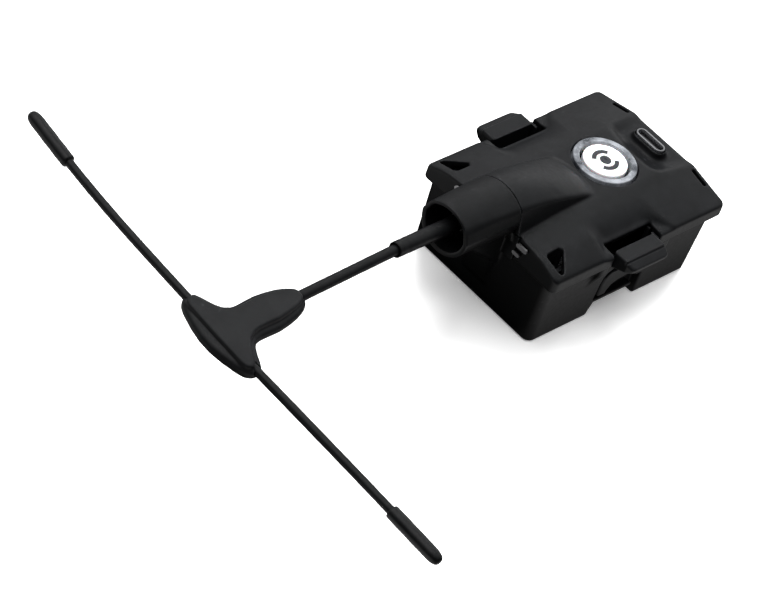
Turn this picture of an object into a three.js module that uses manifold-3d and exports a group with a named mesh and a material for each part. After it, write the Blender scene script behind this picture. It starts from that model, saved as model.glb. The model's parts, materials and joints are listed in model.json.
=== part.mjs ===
// Plug-in radio transmitter module with a straight-stem tee dipole antenna.
// Millimetres, +Z up. Origin: centre of the base's underside. +X runs from the
// antenna nose to the data-port end, +Y to the far long side.
import * as THREE from "three";
import { mergeVertices } from "three/addons/utils/BufferGeometryUtils.js";
import Module from "manifold-3d";

const wasm = await Module();
wasm.setup();

// ---------- driving dimensions (mm) ----------
const LID_LEN = 62.5, LID_WID = 46.4, LID_R = 1.7; // plan of the top cover
const EDGE_Z = 23.1; // height of the cover's long top edges
const SKIRT = 3.5; // depth of the cover's skirt
const SKIRT_Z = EDGE_Z - SKIRT;
const PLATEAU_Y = 8.9; // half width of the flat crown
const CROWN_L = 3.6, CROWN_M = 4.45, CROWN_R = 3.0; // crown above EDGE_Z at the left edge, middle, right edge
const PLATEAU_Z = EDGE_Z + CROWN_M;
const COVER_T = 1.7; // cover thickness
const BASE_TOP_HX = 30.4, BASE_TOP_HY = 21.25; // base half sizes under the skirt
const BASE_BOT_HX = 29.25, BASE_BOT_HY = 20.9; // base half sizes at the floor
const WALL = 1.8, FLOOR = 2.0, GAP = 0.3;
const NOSE_END = -50.1; // free end of the antenna nose
const NOSE_ROOT = -31.75; // seam between nose and cover hump
const AXIS_Z = EDGE_Z + 6.88; // antenna and connector axis
const BTN_X = 7.9; // button centre
const RING_RO = 8.55, RING_RI = 6.35, CAP_R = 5.8;
const USB_X = 24.8, USB_Z = EDGE_Z + 4.85; // data port centre and rim height
const USB_W = 8.94, USB_T = 3.2, USB_WALL = 0.35;
const LATCH_X = -1.55, LATCH_HX = 7.2; // latch tab centre and half length
const SLEEVE_END = -66.55; // free end of the antenna sleeve
const DROOP = (3.1 * Math.PI) / 180; // stem sag past the sleeve
const ROLL = (4.1 * Math.PI) / 180; // tee turned about the stem
const TEE_X = -118.9; // where the dipole arms cross the stem
const ARM_LEN = 73.6, ARM_R = 1.1, TIP_R = 1.78, TIP_LEN = 16.2, STEM_R = 1.4;

// ---------- geometry helpers ----------
function solid(positions, index) {
  const g = new THREE.BufferGeometry();
  g.setAttribute("position", new THREE.Float32BufferAttribute(positions, 3));
  g.setIndex(index);
  return g;
}
// A closed body through matching outlines; each section is {p: [[u,v],...], w}.
// place(u, v, w) gives the point.
function loft(given, place) {
  const area = given[0].p.reduce((t, [u, v], i, p) => { const [a, b] = p[(i + 1) % p.length]; return t + u * b - a * v; }, 0);
  const turned = area < 0 ? given.map((q) => ({ p: q.p.slice().reverse(), w: q.w })) : given;
  const sections = turned[0].w <= turned[turned.length - 1].w ? turned : turned.slice().reverse();
  const n = sections[0].p.length, pos = [], idx = [];
  for (const s of sections) for (const [u, v] of s.p) pos.push(...place(u, v, s.w));
  for (let k = 0; k + 1 < sections.length; k++)
    for (let i = 0; i < n; i++) {
      const j = (i + 1) % n, a = k * n + i, b = k * n + j, c = a + n, d = b + n;
      idx.push(a, b, d, a, d, c);
    }
  const cap = (s, off, flip) => {
    const tris = THREE.ShapeUtils.triangulateShape(s.p.map(([u, v]) => new THREE.Vector2(u, v)), []);
    for (const [a, b, c] of tris) flip ? idx.push(off + a, off + c, off + b) : idx.push(off + a, off + b, off + c);
  };
  cap(sections[0], 0, true);
  cap(sections[sections.length - 1], (sections.length - 1) * n, false);
  return solid(pos, idx);
}
const alongZ = (u, v, w) => [u, v, w];
const alongX = (u, v, w) => [w, u, v];
const alongY = (u, v, w) => [v, w, u]; // u = z, v = x
const prism = (p, a, b, place) => loft([{ p, w: a }, { p, w: b }], place);
function circle(r, n, cu = 0, cv = 0, phase = 0) {
  return Array.from({ length: n }, (_, i) => {
    const t = phase + (i * 2 * Math.PI) / n;
    return [cu + r * Math.cos(t), cv + r * Math.sin(t)];
  });
}
function rrect(hu, hv, r, n = 4, cu = 0, cv = 0) {
  const p = [];
  for (const [su, sv, t0] of [[1, 1, 0], [-1, 1, 1], [-1, -1, 2], [1, -1, 3]])
    for (let i = 0; i <= n; i++) {
      const t = ((t0 + i / n) * Math.PI) / 2;
      p.push([cu + su * (hu - r) + r * Math.cos(t), cv + sv * (hv - r) + r * Math.sin(t)]);
    }
  return p;
}
const box = (x0, x1, y0, y1, z0, z1) => prism([[x0, y0], [x1, y0], [x1, y1], [x0, y1]], z0, z1, alongZ);
const cylZ = (r, z0, z1, x, y, n = 32) => prism(circle(r, n, x, y), z0, z1, alongZ);
const cylX = (r, x0, x1, y, z, n = 24, phase = 0) => prism(circle(r, n, y, z, phase), x0, x1, alongX);
const hexR = (af) => af / Math.sqrt(3);

// ---------- boolean helpers ----------
function toM(g) {
  const c = new THREE.BufferGeometry();
  c.setAttribute("position", g.getAttribute("position").clone());
  if (g.index) c.setIndex(g.index.clone());
  const m = mergeVertices(c, 1e-4);
  return new wasm.Manifold(new wasm.Mesh({ numProp: 3, vertProperties: new Float32Array(m.attributes.position.array), triVerts: new Uint32Array(m.index.array) }));
}
function fromM(m) {
  const q = m.getMesh();
  return solid(Array.from(q.vertProperties), Array.from(q.triVerts));
}
const fold = (op) => (a, ...bs) => fromM(bs.reduce((acc, b) => acc[op](toM(b)), toM(a)));
const cut = fold("subtract"), join = fold("add"), meet = fold("intersect");

// ---------- parts ----------
const group = new THREE.Group();
group.name = "plug_in_transmitter_module";
function add(name, geometry, color, roughness, metalness = 0, extra = {}) {
  const m = new THREE.Mesh(geometry, new THREE.MeshStandardMaterial({ color, roughness, metalness, ...extra }));
  m.name = name;
  group.add(m);
  return m;
}
const BLACK = 0x1b1c1e, COVER = 0x202124, RUBBER = 0x151617, SILVER = 0xc4c6c8, BRASS = 0xc9a24a;
const SCREWS = [[-24, 14.5], [-24, -14.5], [24.5, 14.5], [24.5, -14.5]];

// Section of the hump and nose above the connector axis: crease, crown and flared sides.
// crease and apex are heights above EDGE_Z, yc the half width at the crease, yb at zb.
function crownPts(yc, crease, apex, n = 8) {
  const p = [];
  for (let i = 0; i <= n; i++) {
    const y = yc - (2 * yc * i) / n;
    p.push([y, EDGE_Z + crease + (apex - crease) * (1 - (y / yc) ** 2)]);
  }
  return p;
}
const lerpT = (T, x) => {
  for (let i = 0; i + 1 < T.length; i++)
    if (x <= T[i + 1][0]) {
      const k = (x - T[i][0]) / (T[i + 1][0] - T[i][0]);
      return T[i].map((v, j) => v + k * (T[i + 1][j] - v));
    }
  return T[T.length - 1];
};
// x from the cover's left edge, crease height, apex height, crease half width, side half width at the cover surface
const HUMP = [
  [-18.9, 10.75, 13.05, 6.1, 7.7], [-10, 10.85, 13.4, 6.55, 8.1], [0, 10.4, 13.0, 6.9, 8.9],
  [5, 9.95, 12.4, 7.0, 8.75], [10, 9.2, 11.4, 7.05, 8.55], [15, 8.2, 10.0, 7.1, 8.3],
  [19, 7.15, 8.6, 7.2, 8.05], [23, 6.0, 7.3, 7.3, 7.75], [26, 5.0, 6.1, 7.37, 7.5],
  [28, 4.15, 5.15, 7.4, 7.42], [29.3, 3.4, 4.42, 7.4, 7.4], [30.6, 2.4, 3.3, 7.4, 7.4],
];
const LX = -LID_LEN / 2;
function humpSection(x, inset, zLow) {
  const [, cr, ap, yc, yb] = lerpT(HUMP, x - LX);
  const low = [yb - inset + 0.25, zLow];
  return [[-low[0], zLow], [low[0], zLow], ...crownPts(yc - inset, cr - inset * 0.6, ap - inset)];
}
// x, crown height at PLATEAU_Y, flank heights 17 and 21.6 mm from the centre line, all above EDGE_Z
const CROWN = [
  [LX - 2, CROWN_L - 0.1, 2.5, 0.95], [LX, CROWN_L, 2.6, 1.0], [LX + 12, CROWN_M, 2.9, 1.0],
  [LX + 50, CROWN_M - 0.1, 2.1, 0.6], [-LX, CROWN_R, 1.25, 0.35], [-LX + 2, CROWN_R - 0.2, 1.15, 0.3],
];

// --- top cover ---
{
  const roofSec = (x, drop, hy, zb) => {
    const [, c, f, g] = lerpT(CROWN, x), h = EDGE_Z + c - drop, e = EDGE_Z - (drop > 0 ? 1.0 : 0);
    const up = [[hy, e], [drop > 0 ? 18.6 : 21.6, EDGE_Z + (drop > 0 ? f * 0.86 - drop * 0.95 : g)], [drop > 0 ? 16.0 : 17, EDGE_Z + f - drop * 0.95], [PLATEAU_Y - drop * 0.2, h]];
    return [[-hy, zb], [hy, zb], ...up, ...up.slice().reverse().map(([y, z]) => [-y, z])];
  };
  const xs = [LX - 1, LX, LX + 12, LX + 50, -LX, -LX + 1];
  const roof = loft(xs.map((x) => ({ p: roofSec(x, 0, LID_WID / 2 + 0.001, SKIRT_Z - 1), w: x })), alongX);
  const plan = prism(rrect(LID_LEN / 2, LID_WID / 2, LID_R, 5), SKIRT_Z, EDGE_Z + 20, alongZ);
  let cover = meet(roof, plan);
  const hx = [0, 5, 10, 15, 19, 23, 26, 28, 29.3, 30.6].map((v) => v + LX);
  const hump = loft(hx.map((x) => ({ p: humpSection(x, 0, EDGE_Z + 1.2), w: x })), alongX);
  cover = join(cover, hump);
  // inside of the cover
  const ix = [-28.95, LX + 12, LX + 50, 28.95];
  let inner = loft(ix.map((x) => ({ p: roofSec(x, COVER_T, 19.9, SKIRT_Z - 2), w: x })), alongX);
  // material kept below the port pocket and below the finger scoops
  inner = cut(inner, loft([
    { p: [[20.4, -6.4], [33, -9.2], [33, 9.2], [21.2, 7.0], [20.2, 1.8]], w: EDGE_Z + 1.5 },
    { p: [[16.8, -10.0], [33, -13.3], [33, 13.3], [17.6, 10.6], [16.6, 1.9]], w: EDGE_Z + 5.6 },
  ], alongZ));
  for (const s of [1, -1]) {
    const under = [
      { p: [[LX + 17.2, s * 23.6], [LX + 20.4, s * 17.0], [LX + 39.2, s * 17.0], [LX + 44.8, s * 23.6]], w: EDGE_Z - 0.85 },
      { p: [[LX + 11.2, s * 27], [LX + 17.3, s * 11.4], [LX + 41.5, s * 11.4], [LX + 47.8, s * 27]], w: EDGE_Z + 4.4 },
    ].map((q) => (s > 0 ? { p: q.p.slice().reverse(), w: q.w } : q));
    inner = cut(inner, loft(under, alongZ));
  }
  const innerHump = loft([-1, 5, 10, 15, 19, 23, 25].map((v) => ({ p: humpSection(v + LX, 1.5, EDGE_Z), w: v + LX })), alongX);
  cover = cut(cover, inner, innerHump);
  // notch in the left skirt for the nose's end plate
  cover = cut(cover, box(LX - 1, -28.0, -9.3, 9.3, SKIRT_Z - 2, EDGE_Z + 3.2));
  // button opening, data-port pocket and port slot
  cover = cut(cover, cylZ(RING_RO + GAP, EDGE_Z, EDGE_Z + 10, BTN_X, 0, 48));
  const pocket = loft([
    { p: [[21.4, -5.3], [33, -8.0], [33, 8.0], [22.2, 5.9], [21.2, 1.8]], w: EDGE_Z + 2.5 },
    { p: [[17.9, -8.8], [33, -11.6], [33, 11.6], [18.7, 9.4], [17.7, 1.9]], w: EDGE_Z + 5.6 },
  ], alongZ);
  cover = cut(cover, pocket);
  // soft collar standing round the port on the pocket floor
  cover = join(cover, loft([
    { p: rrect(USB_T / 2 + 1.5, USB_W / 2 + 1.5, 2.9, 5, USB_X, 0), w: EDGE_Z + 2.2 },
    { p: rrect(USB_T / 2 + 1.15, USB_W / 2 + 1.15, 2.6, 5, USB_X, 0), w: EDGE_Z + 2.9 },
    { p: rrect(USB_T / 2 + 0.6, USB_W / 2 + 0.6, 2.1, 5, USB_X, 0), w: EDGE_Z + 4.35 },
    { p: rrect(USB_T / 2 + 0.5, USB_W / 2 + 0.5, 2.0, 5, USB_X, 0), w: EDGE_Z + 4.5 },
  ], alongZ));
  cover = cut(cover, prism(rrect(USB_T / 2 + GAP, USB_W / 2 + GAP, 1.85, 5, USB_X, 0), EDGE_Z - 3, EDGE_Z + 8, alongZ));
  // latch openings through the flank and skirt, with finger scoops
  for (const s of [1, -1]) {
    const ya = Math.min(s * 19.2, s * 30), yb = Math.max(s * 19.2, s * 30);
    cover = cut(cover, box(LX + 21.2, LX + 38.3, ya, yb, SKIRT_Z - 2, EDGE_Z + 6));
    const sc = loft([
      { p: [[LX + 18.6, s * 23.6], [LX + 21.4, s * 18.2], [LX + 38.2, s * 18.2], [LX + 43.4, s * 23.6]], w: EDGE_Z + 0.1 },
      { p: [[LX + 12.5, s * 27], [LX + 18.4, s * 12.6], [LX + 40.4, s * 12.6], [LX + 46.4, s * 27]], w: EDGE_Z + 4.4 },
    ].map((q) => (s > 0 ? { p: q.p.slice().reverse(), w: q.w } : q)), alongZ);
    cover = cut(cover, sc);
  }
  // triangular wells near the antenna end and narrow slots near the data-port end
  for (const s of [1, -1]) {
    const tri = [[LX + 2.2, s * 16.6], [LX + 2.9, s * 15.9], [LX + 7.4, s * 15.7], [LX + 8.2, s * 16.6], [LX + 4.4, s * 22.0], [LX + 3.2, s * 22.2], [LX + 2.6, s * 21.4]];
    cover = cut(cover, prism(s > 0 ? tri : tri.slice().reverse(), EDGE_Z - 3, EDGE_Z + 6, alongZ));
    cover = cut(cover, box(LX + 60.2, LX + 61.5 - 0.2, Math.min(s * 11.6, s * 16.6), Math.max(s * 11.6, s * 16.6), EDGE_Z - 1.2, EDGE_Z + 6));
  }
  // bosses that take the four cover screws
  for (const [x, y] of SCREWS) {
    const boss = cut(cylZ(2.5, 14.3, EDGE_Z + 1.4, x, y, 20), cylZ(1.3, 14, 21.4, x, y, 16));
    cover = cut(join(cover, boss), cylZ(1.3, 14, 21.4, x, y, 16));
  }
  add("top_cover", cover, COVER, 0.55);
}

// --- base shell with the antenna nose ---
{
  const baseH = SKIRT_Z - GAP;
  let base = loft([
    { p: rrect(BASE_BOT_HX - 0.5, BASE_BOT_HY - 0.5, 1.8, 4), w: 0 },
    { p: rrect(BASE_BOT_HX, BASE_BOT_HY, 2.2, 4), w: 0.6 },
    { p: rrect(BASE_TOP_HX, BASE_TOP_HY, 2.2, 4), w: baseH },
  ], alongZ);
  // lip inside the cover's skirt
  base = join(base, prism(rrect(28.6, 19.5, 1.4, 4), baseH - 1, EDGE_Z - 1.0, alongZ));
  // end plate and nose
  const noseSec = (x) => {
    const [, cr, ap, yc] = lerpT(HUMP, x - LX), p = crownPts(yc, cr, ap), yb = 7.7, zc = AXIS_Z + 0.3;
    for (let i = 0; i <= 12; i++) {
      const t = Math.PI + (i / 12) * Math.PI;
      p.push([yb * Math.cos(t), zc + yb * Math.sin(t)]);
    }
    return p;
  };
  const nose = loft([NOSE_END, -41.25, NOSE_ROOT].map((x) => ({ p: noseSec(x), w: x })), alongX);
  const plate = prism([[-9.0, baseH - 0.5], [9.0, baseH - 0.5], [8.9, EDGE_Z + 2.9], [7.2, EDGE_Z + 8.4], [-7.2, EDGE_Z + 8.4], [-8.9, EDGE_Z + 2.9]], NOSE_ROOT - 0.01, -28.3, alongX);
  const plateTop = meet(plate, loft([-31.9, -28.2].map((x) => ({ p: humpSection(x, 1.85, 0), w: x })), alongX));
  const plateLow = prism([[-9.0, baseH - 0.5], [9.0, baseH - 0.5], [9.0, EDGE_Z + 2.9], [-9.0, EDGE_Z + 2.9]], LX, -28.3, alongX);
  // web under the nose, blending it into the left wall
  const web = loft([
    { p: [[-30.0, -4.2], [-29.4, -4.2], [-29.4, 4.2], [-30.0, 4.2]], w: 6 },
    { p: [[-33.4, -5.4], [-29.4, -5.4], [-29.4, 5.4], [-33.4, 5.4]], w: 16 },
    { p: [[-44.5, -5.2], [-29.4, -5.2], [-29.4, 5.2], [-44.5, 5.2]], w: EDGE_Z + 1.2 },
  ], alongZ);
  base = join(base, web, plateLow, plateTop, nose);
  // inside of the base
  base = cut(base, prism(rrect(27.4, 19.2 - 0.9, 1.0, 3), FLOOR, EDGE_Z + 3, alongZ));
  // nose bore, connector bulkhead hole and clearance behind it
  const boreSec = (x) => {
    const [, cr, ap, yc] = lerpT(HUMP, x - LX), p = crownPts(yc - 1.0, cr - 0.5, ap - 0.9), yb = 6.5, zc = AXIS_Z + 0.3;
    for (let i = 0; i <= 12; i++) {
      const t = Math.PI + (i / 12) * Math.PI;
      p.push([yb * Math.cos(t), zc + yb * Math.sin(t)]);
    }
    return p;
  };
  const bore = loft([NOSE_END - 1, -41.25, -33.3].map((x) => ({ p: boreSec(x), w: x })), alongX);
  base = cut(base, bore, cylX(3.45, -36, -26, 0, AXIS_Z, 24));
  // latch windows, foot notches and side reliefs
  for (const s of [1, -1]) {
    const y0 = Math.min(s * 17.2, s * 26), y1 = Math.max(s * 17.2, s * 26);
    base = cut(base,
      prism([[4.9, LX + 23.5], [10.4, LX + 23.6], [12.7, LX + 24.0], [14.0, LX + 25.0], [14.8, LX + 26.8], [15.4, LX + 27.3], [EDGE_Z + 2, LX + 27.3], [EDGE_Z + 2, LX + 37.9], [4.9, LX + 37.9]], y0, y1, alongY),
      box(LX + 21.9, LX + 28, y0, y1, 17.8, EDGE_Z + 2),
      box(LX + 37.8, LX + 40.3, y0, y1, 1.9, 7.5),
      prism([[-1, LX + 21.9], [-1, LX + 40.3], [4.1, LX + 40.3], [4.1, LX + 24.2]], y0, y1, alongY));
    // the cut foot is closed again behind the notch
    base = join(base, box(LX + 21, LX + 41.5, Math.min(s * 17.0, s * 18.6), Math.max(s * 17.0, s * 18.6), 0.4, 6.2));
    // narrow wall closing the gap beside the tab
    const wa = Math.min(s * 20.6, s * 23.0), wb = Math.max(s * 20.6, s * 23.0);
    base = join(base, box(LX + 37.2, LX + 38.9, wa, wb, 12.6, baseH), box(LX + 37.2, LX + 38.0, wa, wb, 12.6, EDGE_Z - 0.9));
    // flared guards either side of the latch tab
    for (const [a, b, c, e] of [[LX + 38.6, LX + 38.6, LX + 46, LX + 44], [LX + 17.0, LX + 19.0, LX + 21.8, LX + 21.8]]) {
      const f = [
        { p: [[a, s * 20.6], [c, s * 20.6], [c, s * 21.2], [a, s * 21.2]], w: 12.6 },
        { p: [[b, s * 20.6], [e, s * 20.6], [e, s * 22.7], [b, s * 22.7]], w: 16.6 },
        { p: [[b, s * 20.6], [e, s * 20.6], [e, s * 22.7], [b, s * 22.7]], w: baseH },
      ].map((q) => (s > 0 ? q : { p: q.p.slice().reverse(), w: q.w }));
      base = join(base, loft(f, alongZ));
    }
  }
  // floor opening for the five-way socket, four screw wells with posts
  for (const [x, y] of SCREWS) {
    base = join(base, cylZ(3.0, 1, 14.0, x, y, 20));
    base = cut(base, cylZ(1.35, -1, 17, x, y, 16), cylZ(2.35, -1, 2.6, x, y, 20));
  }
  // board ledges
  for (const [x, y] of [[-12, 0], [12, -13.5], [12, 13.5]]) base = join(base, cylZ(1.8, 1, 4.2, x, y, 12));
  base = cut(base, box(15.6, 19.6, -7.6, 7.6, -1, 3));
  add("base_shell", base, BLACK, 0.6);
}

// --- latches: arm, finger tab and sloped lip in one piece each ---
for (const [name, s] of [["latch_near", -1], ["latch_far", 1]]) {
  const prof = [[21.7, 0], [21.7, -6.0], [19.5, -9.2], [19.5, -16.9], [21.15, -16.9], [21.2, -9.8], [23.2, -6.6], [23.3, -4.6], [26.9, -3.3], [28.1, -2.6], [28.4, -1.9], [28.3, -1.35], [26.35, -0.5], [25.8, 0]]
    .map(([y, z]) => [s * y, EDGE_Z + z]);
  const ccw = s > 0 ? prof : prof.slice().reverse();
  let g = prism(ccw.slice(), LATCH_X - LATCH_HX, LATCH_X + LATCH_HX, alongX);
  // plan outline of the tab with rounded outer corners, arm narrower than the window
  const plan = [[LATCH_X - 6.9, 19], [LATCH_X + 6.9, 19], [LATCH_X + LATCH_HX, 22], [LATCH_X + LATCH_HX, 26.4], [LATCH_X + 6.5, 28.1], [LATCH_X + 5.4, 28.8], [LATCH_X - 5.4, 28.8], [LATCH_X - 6.5, 28.1], [LATCH_X - LATCH_HX, 26.4], [LATCH_X - LATCH_HX, 22]]
    .map(([x, y]) => [x, s * y]);
  g = meet(g, prism(s > 0 ? plan : plan.slice().reverse(), 0, 40, alongZ));
  // curved shoulder and underside of the arm
  const shoulder = [[0, LX + 20], [0, LX + 24.2], [10.0, LX + 24.3], [12.2, LX + 24.8], [13.3, LX + 25.6], [13.9, LX + 27.0], [14.6, LX + 28.0], [18.2, LX + 28.0], [18.2, LX + 20]];
  const under = [[5, LX + 27.2], [7.0, LX + 27.6], [8.4, LX + 28.6], [9.2, LX + 30.4], [9.5, LX + 33], [9.3, LX + 40], [5, LX + 40]];
  g = cut(g, prism(shoulder, Math.min(s * 18, s * 30), Math.max(s * 18, s * 30), alongY), prism(under, Math.min(s * 18, s * 30), Math.max(s * 18, s * 30), alongY));
  add(name, g, COVER, 0.5);
}

// --- button, light ring and key switch ---
{
  const ring = [[RING_RI, EDGE_Z + 1.0], [RING_RO, EDGE_Z + 1.0], [RING_RO, EDGE_Z + 4.55], [RING_RO - 0.45, EDGE_Z + 4.95], [RING_RI + 0.25, EDGE_Z + 4.95], [RING_RI, EDGE_Z + 4.75]];
  const lathe = (pts, n) => {
    const g = new THREE.LatheGeometry([...pts, pts[0]].map(([r, z]) => new THREE.Vector2(r, z)), n);
    g.rotateX(Math.PI / 2);
    return g;
  };
  const l = lathe(ring, 56);
  l.translate(BTN_X, 0, 0);
  add("light_ring", fromM(toM(l)), 0x9aa0a3, 0.25, 0, { transparent: true, opacity: 0.85 });
  const capPts = [[0, EDGE_Z + 0.3], [2.0, EDGE_Z + 0.3], [2.0, EDGE_Z + 2.6], [CAP_R - 0.9, EDGE_Z + 2.6], [CAP_R - 0.9, EDGE_Z + 1.4], [CAP_R, EDGE_Z + 1.4], [CAP_R, EDGE_Z + 4.75], [CAP_R - 0.3, EDGE_Z + 5.0], [0, EDGE_Z + 5.0]];
  const c = new THREE.LatheGeometry(capPts.map(([r, z]) => new THREE.Vector2(r, z)), 48);
  c.rotateX(Math.PI / 2);
  c.translate(BTN_X, 0, 0);
  let cap = fromM(toM(c));
  const ez = EDGE_Z + 5.0;
  const arc = (r0, r1, a0, a1, z0, z1, n = 12) => {
    const p = [];
    for (let i = 0; i <= n; i++) { const t = a0 + ((a1 - a0) * i) / n; p.push([BTN_X + r1 * Math.cos(t), r1 * Math.sin(t)]); }
    for (let i = n; i >= 0; i--) { const t = a0 + ((a1 - a0) * i) / n; p.push([BTN_X + r0 * Math.cos(t), r0 * Math.sin(t)]); }
    return prism(p, z0, z1, alongZ);
  };
  const D = Math.PI / 180;
  cap = cut(cap, cylZ(1.55, ez - 0.35, ez + 1, BTN_X, 0, 24), arc(2.3, 3.6, 33 * D, 147 * D, ez - 0.35, ez + 1), arc(2.3, 3.6, 213 * D, 327 * D, ez - 0.35, ez + 1));
  add("button_cap", cap, 0xf1f2f2, 0.35);
  add("button_mark_dot", cylZ(1.45, ez - 0.3, ez + 0.02, BTN_X, 0, 24), 0x2a2c2f, 0.5);
  add("button_mark_arc_far", arc(2.4, 3.5, 35 * D, 145 * D, ez - 0.3, ez + 0.02), 0x2a2c2f, 0.5);
  add("button_mark_arc_near", arc(2.4, 3.5, 215 * D, 325 * D, ez - 0.3, ez + 0.02), 0x2a2c2f, 0.5);
  const sw = cut(box(BTN_X - 3, BTN_X + 3, -3, 3, 20.0, 22.6), cylZ(1.75, 21.6, 24, BTN_X, 0, 20));
  add("key_switch_body", sw, 0x2b2d30, 0.5);
  add("key_switch_plunger", cylZ(1.45, 22.2, 23.1, BTN_X, 0, 20), 0xd8c9a8, 0.5);
  let i = 0;
  for (const a of [45, 135, 225, 315]) {
    const x = BTN_X + 7.4 * Math.cos(a * D), y = 7.4 * Math.sin(a * D);
    add(`status_led_${++i}`, box(x - 1, x + 1, y - 0.9, y + 0.9, 20.0, 20.8), 0xf4efd0, 0.3);
  }
}

// --- data port ---
{
  const outer = prism(rrect(USB_T / 2, USB_W / 2, 1.58, 6, USB_X, 0), USB_Z - 7.6, USB_Z, alongZ);
  const inner = prism(rrect(USB_T / 2 - USB_WALL, USB_W / 2 - USB_WALL, 1.24, 6, USB_X, 0), USB_Z - 6.9, USB_Z + 1, alongZ);
  add("data_port_shell", cut(outer, inner), SILVER, 0.25, 0.95);
  add("data_port_tongue", prism(rrect(0.36, 3.3, 0.2, 2, USB_X, 0), USB_Z - 6.7, USB_Z - 0.9, alongZ), 0x1a1b1d, 0.5);
}

// --- boards and electronics ---
{
  let ui = box(-2.5, 27.0, -16.5, 16.5, 18.4, 19.8);
  ui = cut(ui, box(21.4, 30, 11.4, 20, 17, 21), box(21.4, 30, -20, -11.4, 17, 21));
  add("upper_board", ui, 0x15181a, 0.5);
  let main = box(-26.6, 26.6, -16.6, 16.6, 4.5, 6.1);
  for (const [a, b] of [[-30, -20.6], [21.1, 30]]) main = cut(main, box(a, b, 11.1, 20, 3, 8), box(a, b, -20, -11.1, 3, 8));
  main = cut(main, box(15.3, 19.9, -7.3, 7.3, 3, 8));
  add("main_board", main, 0x15181a, 0.5);
  const can = cut(box(-22, 2, -11, 11, 6.4, 10.2), box(-21.6, 1.6, -10.6, 10.6, 6, 9.8));
  add("rf_shield_can", can, 0xb9bcbe, 0.35, 0.9);
  let sink = box(-23.5, 3.5, -11.0, 11.0, 10.6, 12.2);
  for (let k = 0; k < 6; k++) sink = join(sink, box(-20.5, 2.5, -10.6 + k * 4.0, -9.4 + k * 4.0, 12.1, 16.4));
  add("heat_spreader", sink, 0x8f9396, 0.4, 0.9);
  add("processor_chip", box(6, 12.5, -3.4, 3.4, 6.4, 7.5), 0x222326, 0.45);
  add("voltage_regulator", box(7, 11.5, 8, 12.5, 6.4, 8.4), 0x222326, 0.45);
}

// --- five-way rear socket opening downwards, and its contacts ---
{
  let h = box(15.9, 19.3, -7.0, 7.0, 0.5, 10.4);
  for (let k = -2; k <= 2; k++) h = cut(h, box(16.65, 18.55, k * 2.54 - 0.95, k * 2.54 + 0.95, -1, 9.2));
  add("rear_socket_housing", h, 0x161719, 0.55);
  for (let k = -2; k <= 2; k++) {
    const y = k * 2.54;
    add(`rear_socket_contact_${k + 3}`, cut(box(16.95, 18.25, y - 0.65, y + 0.65, 2.6, 8.9), box(17.22, 17.98, y - 0.38, y + 0.38, 1, 8.2)), BRASS, 0.3, 0.95);
  }
}

// --- cover screws ---
{
  let i = 0;
  for (const [x, y] of SCREWS) {
    const c = new THREE.LatheGeometry([[0, 0.5], [2.0, 0.5], [2.0, 2.2], [1.0, 2.2], [1.0, 20.0], [0, 20.0]].map(([r, z]) => new THREE.Vector2(r, z)), 16);
    c.rotateX(Math.PI / 2);
    c.translate(x, y, 0);
    const g = cut(fromM(toM(c)), box(x - 1.4, x + 1.4, y - 0.22, y + 0.22, 0, 1.1), box(x - 0.22, x + 0.22, y - 1.4, y + 1.4, 0, 1.1));
    add(`cover_screw_${++i}`, g, SILVER, 0.35, 0.95);
  }
}

// --- nose retaining pins at the left end, two each side ---
{
  for (const [n, s] of [["near", -1], ["far", 1]])
    for (const [k, z, ya, yb] of [[1, EDGE_Z + 1.7, 9.9, 12.2], [2, EDGE_Z - 0.9, 9.3, 10.7]]) {
      // round-ended bar lying along the cover's end face
      const r = k === 1 ? 0.62 : 0.52, p = [];
      for (let i = 0; i <= 8; i++) { const t = -Math.PI / 2 + (i / 8) * Math.PI; p.push([yb + r * Math.cos(t), z + r * Math.sin(t)]); }
      for (let i = 0; i <= 8; i++) { const t = Math.PI / 2 + (i / 8) * Math.PI; p.push([ya + r * Math.cos(t), z + r * Math.sin(t)]); }
      const q = p.map(([y, w]) => [s * y, w]);
      add(`nose_pin_${n}_${k}`, prism(s > 0 ? q : q.reverse(), LX - 0.8, LX - 0.3, alongX), SILVER, 0.3, 0.95);
    }
}

// --- panel connector in the nose ---
{
  const jack = join(cylX(3.1, -40.4, -28.0, 0, AXIS_Z, 28), cylX(hexR(6.4), -28.0, -26.2, 0, AXIS_Z, 6));
  add("panel_connector_body", cut(jack, cylX(2.35, -41, -35.6, 0, AXIS_Z, 24), cylX(1.2, -36, -27, 0, AXIS_Z, 16)), BRASS, 0.3, 0.95);
  add("panel_connector_contact", cut(cylX(0.85, -37.4, -27.4, 0, AXIS_Z, 16), cylX(0.6, -38, -34.2, 0, AXIS_Z, 12)), BRASS, 0.25, 0.95);
  add("panel_connector_washer", cut(cylX(4.1, -34.1, -33.6, 0, AXIS_Z, 24), cylX(3.4, -35, -33, 0, AXIS_Z, 24)), SILVER, 0.35, 0.95);
  add("panel_connector_nut", cut(cylX(hexR(7.4), -36.2, -34.4, 0, AXIS_Z, 6), cylX(3.4, -37, -34, 0, AXIS_Z, 24)), BRASS, 0.3, 0.95);
  // lead from the connector down to the main board
  const path = new THREE.CatmullRomCurve3([[-25.9, AXIS_Z], [-23.6, AXIS_Z - 0.6], [-22.4, AXIS_Z - 4], [-22.9, 21], [-24.6, 14], [-24.8, 9]].map(([x, z]) => new THREE.Vector3(x, 0, z)));
  const sh = new THREE.Shape(circle(0.65, 10).map(([a, b]) => new THREE.Vector2(a, b)));
  const lead = new THREE.ExtrudeGeometry(sh, { steps: 18, bevelEnabled: false, extrudePath: path });
  add("internal_coax_lead", fromM(toM(lead)), 0x8a6a3a, 0.5);
  add("board_coax_plug", box(-26.2, -23.4, -1.4, 1.4, 6.4, 8.7), BRASS, 0.35, 0.9);
}

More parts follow.
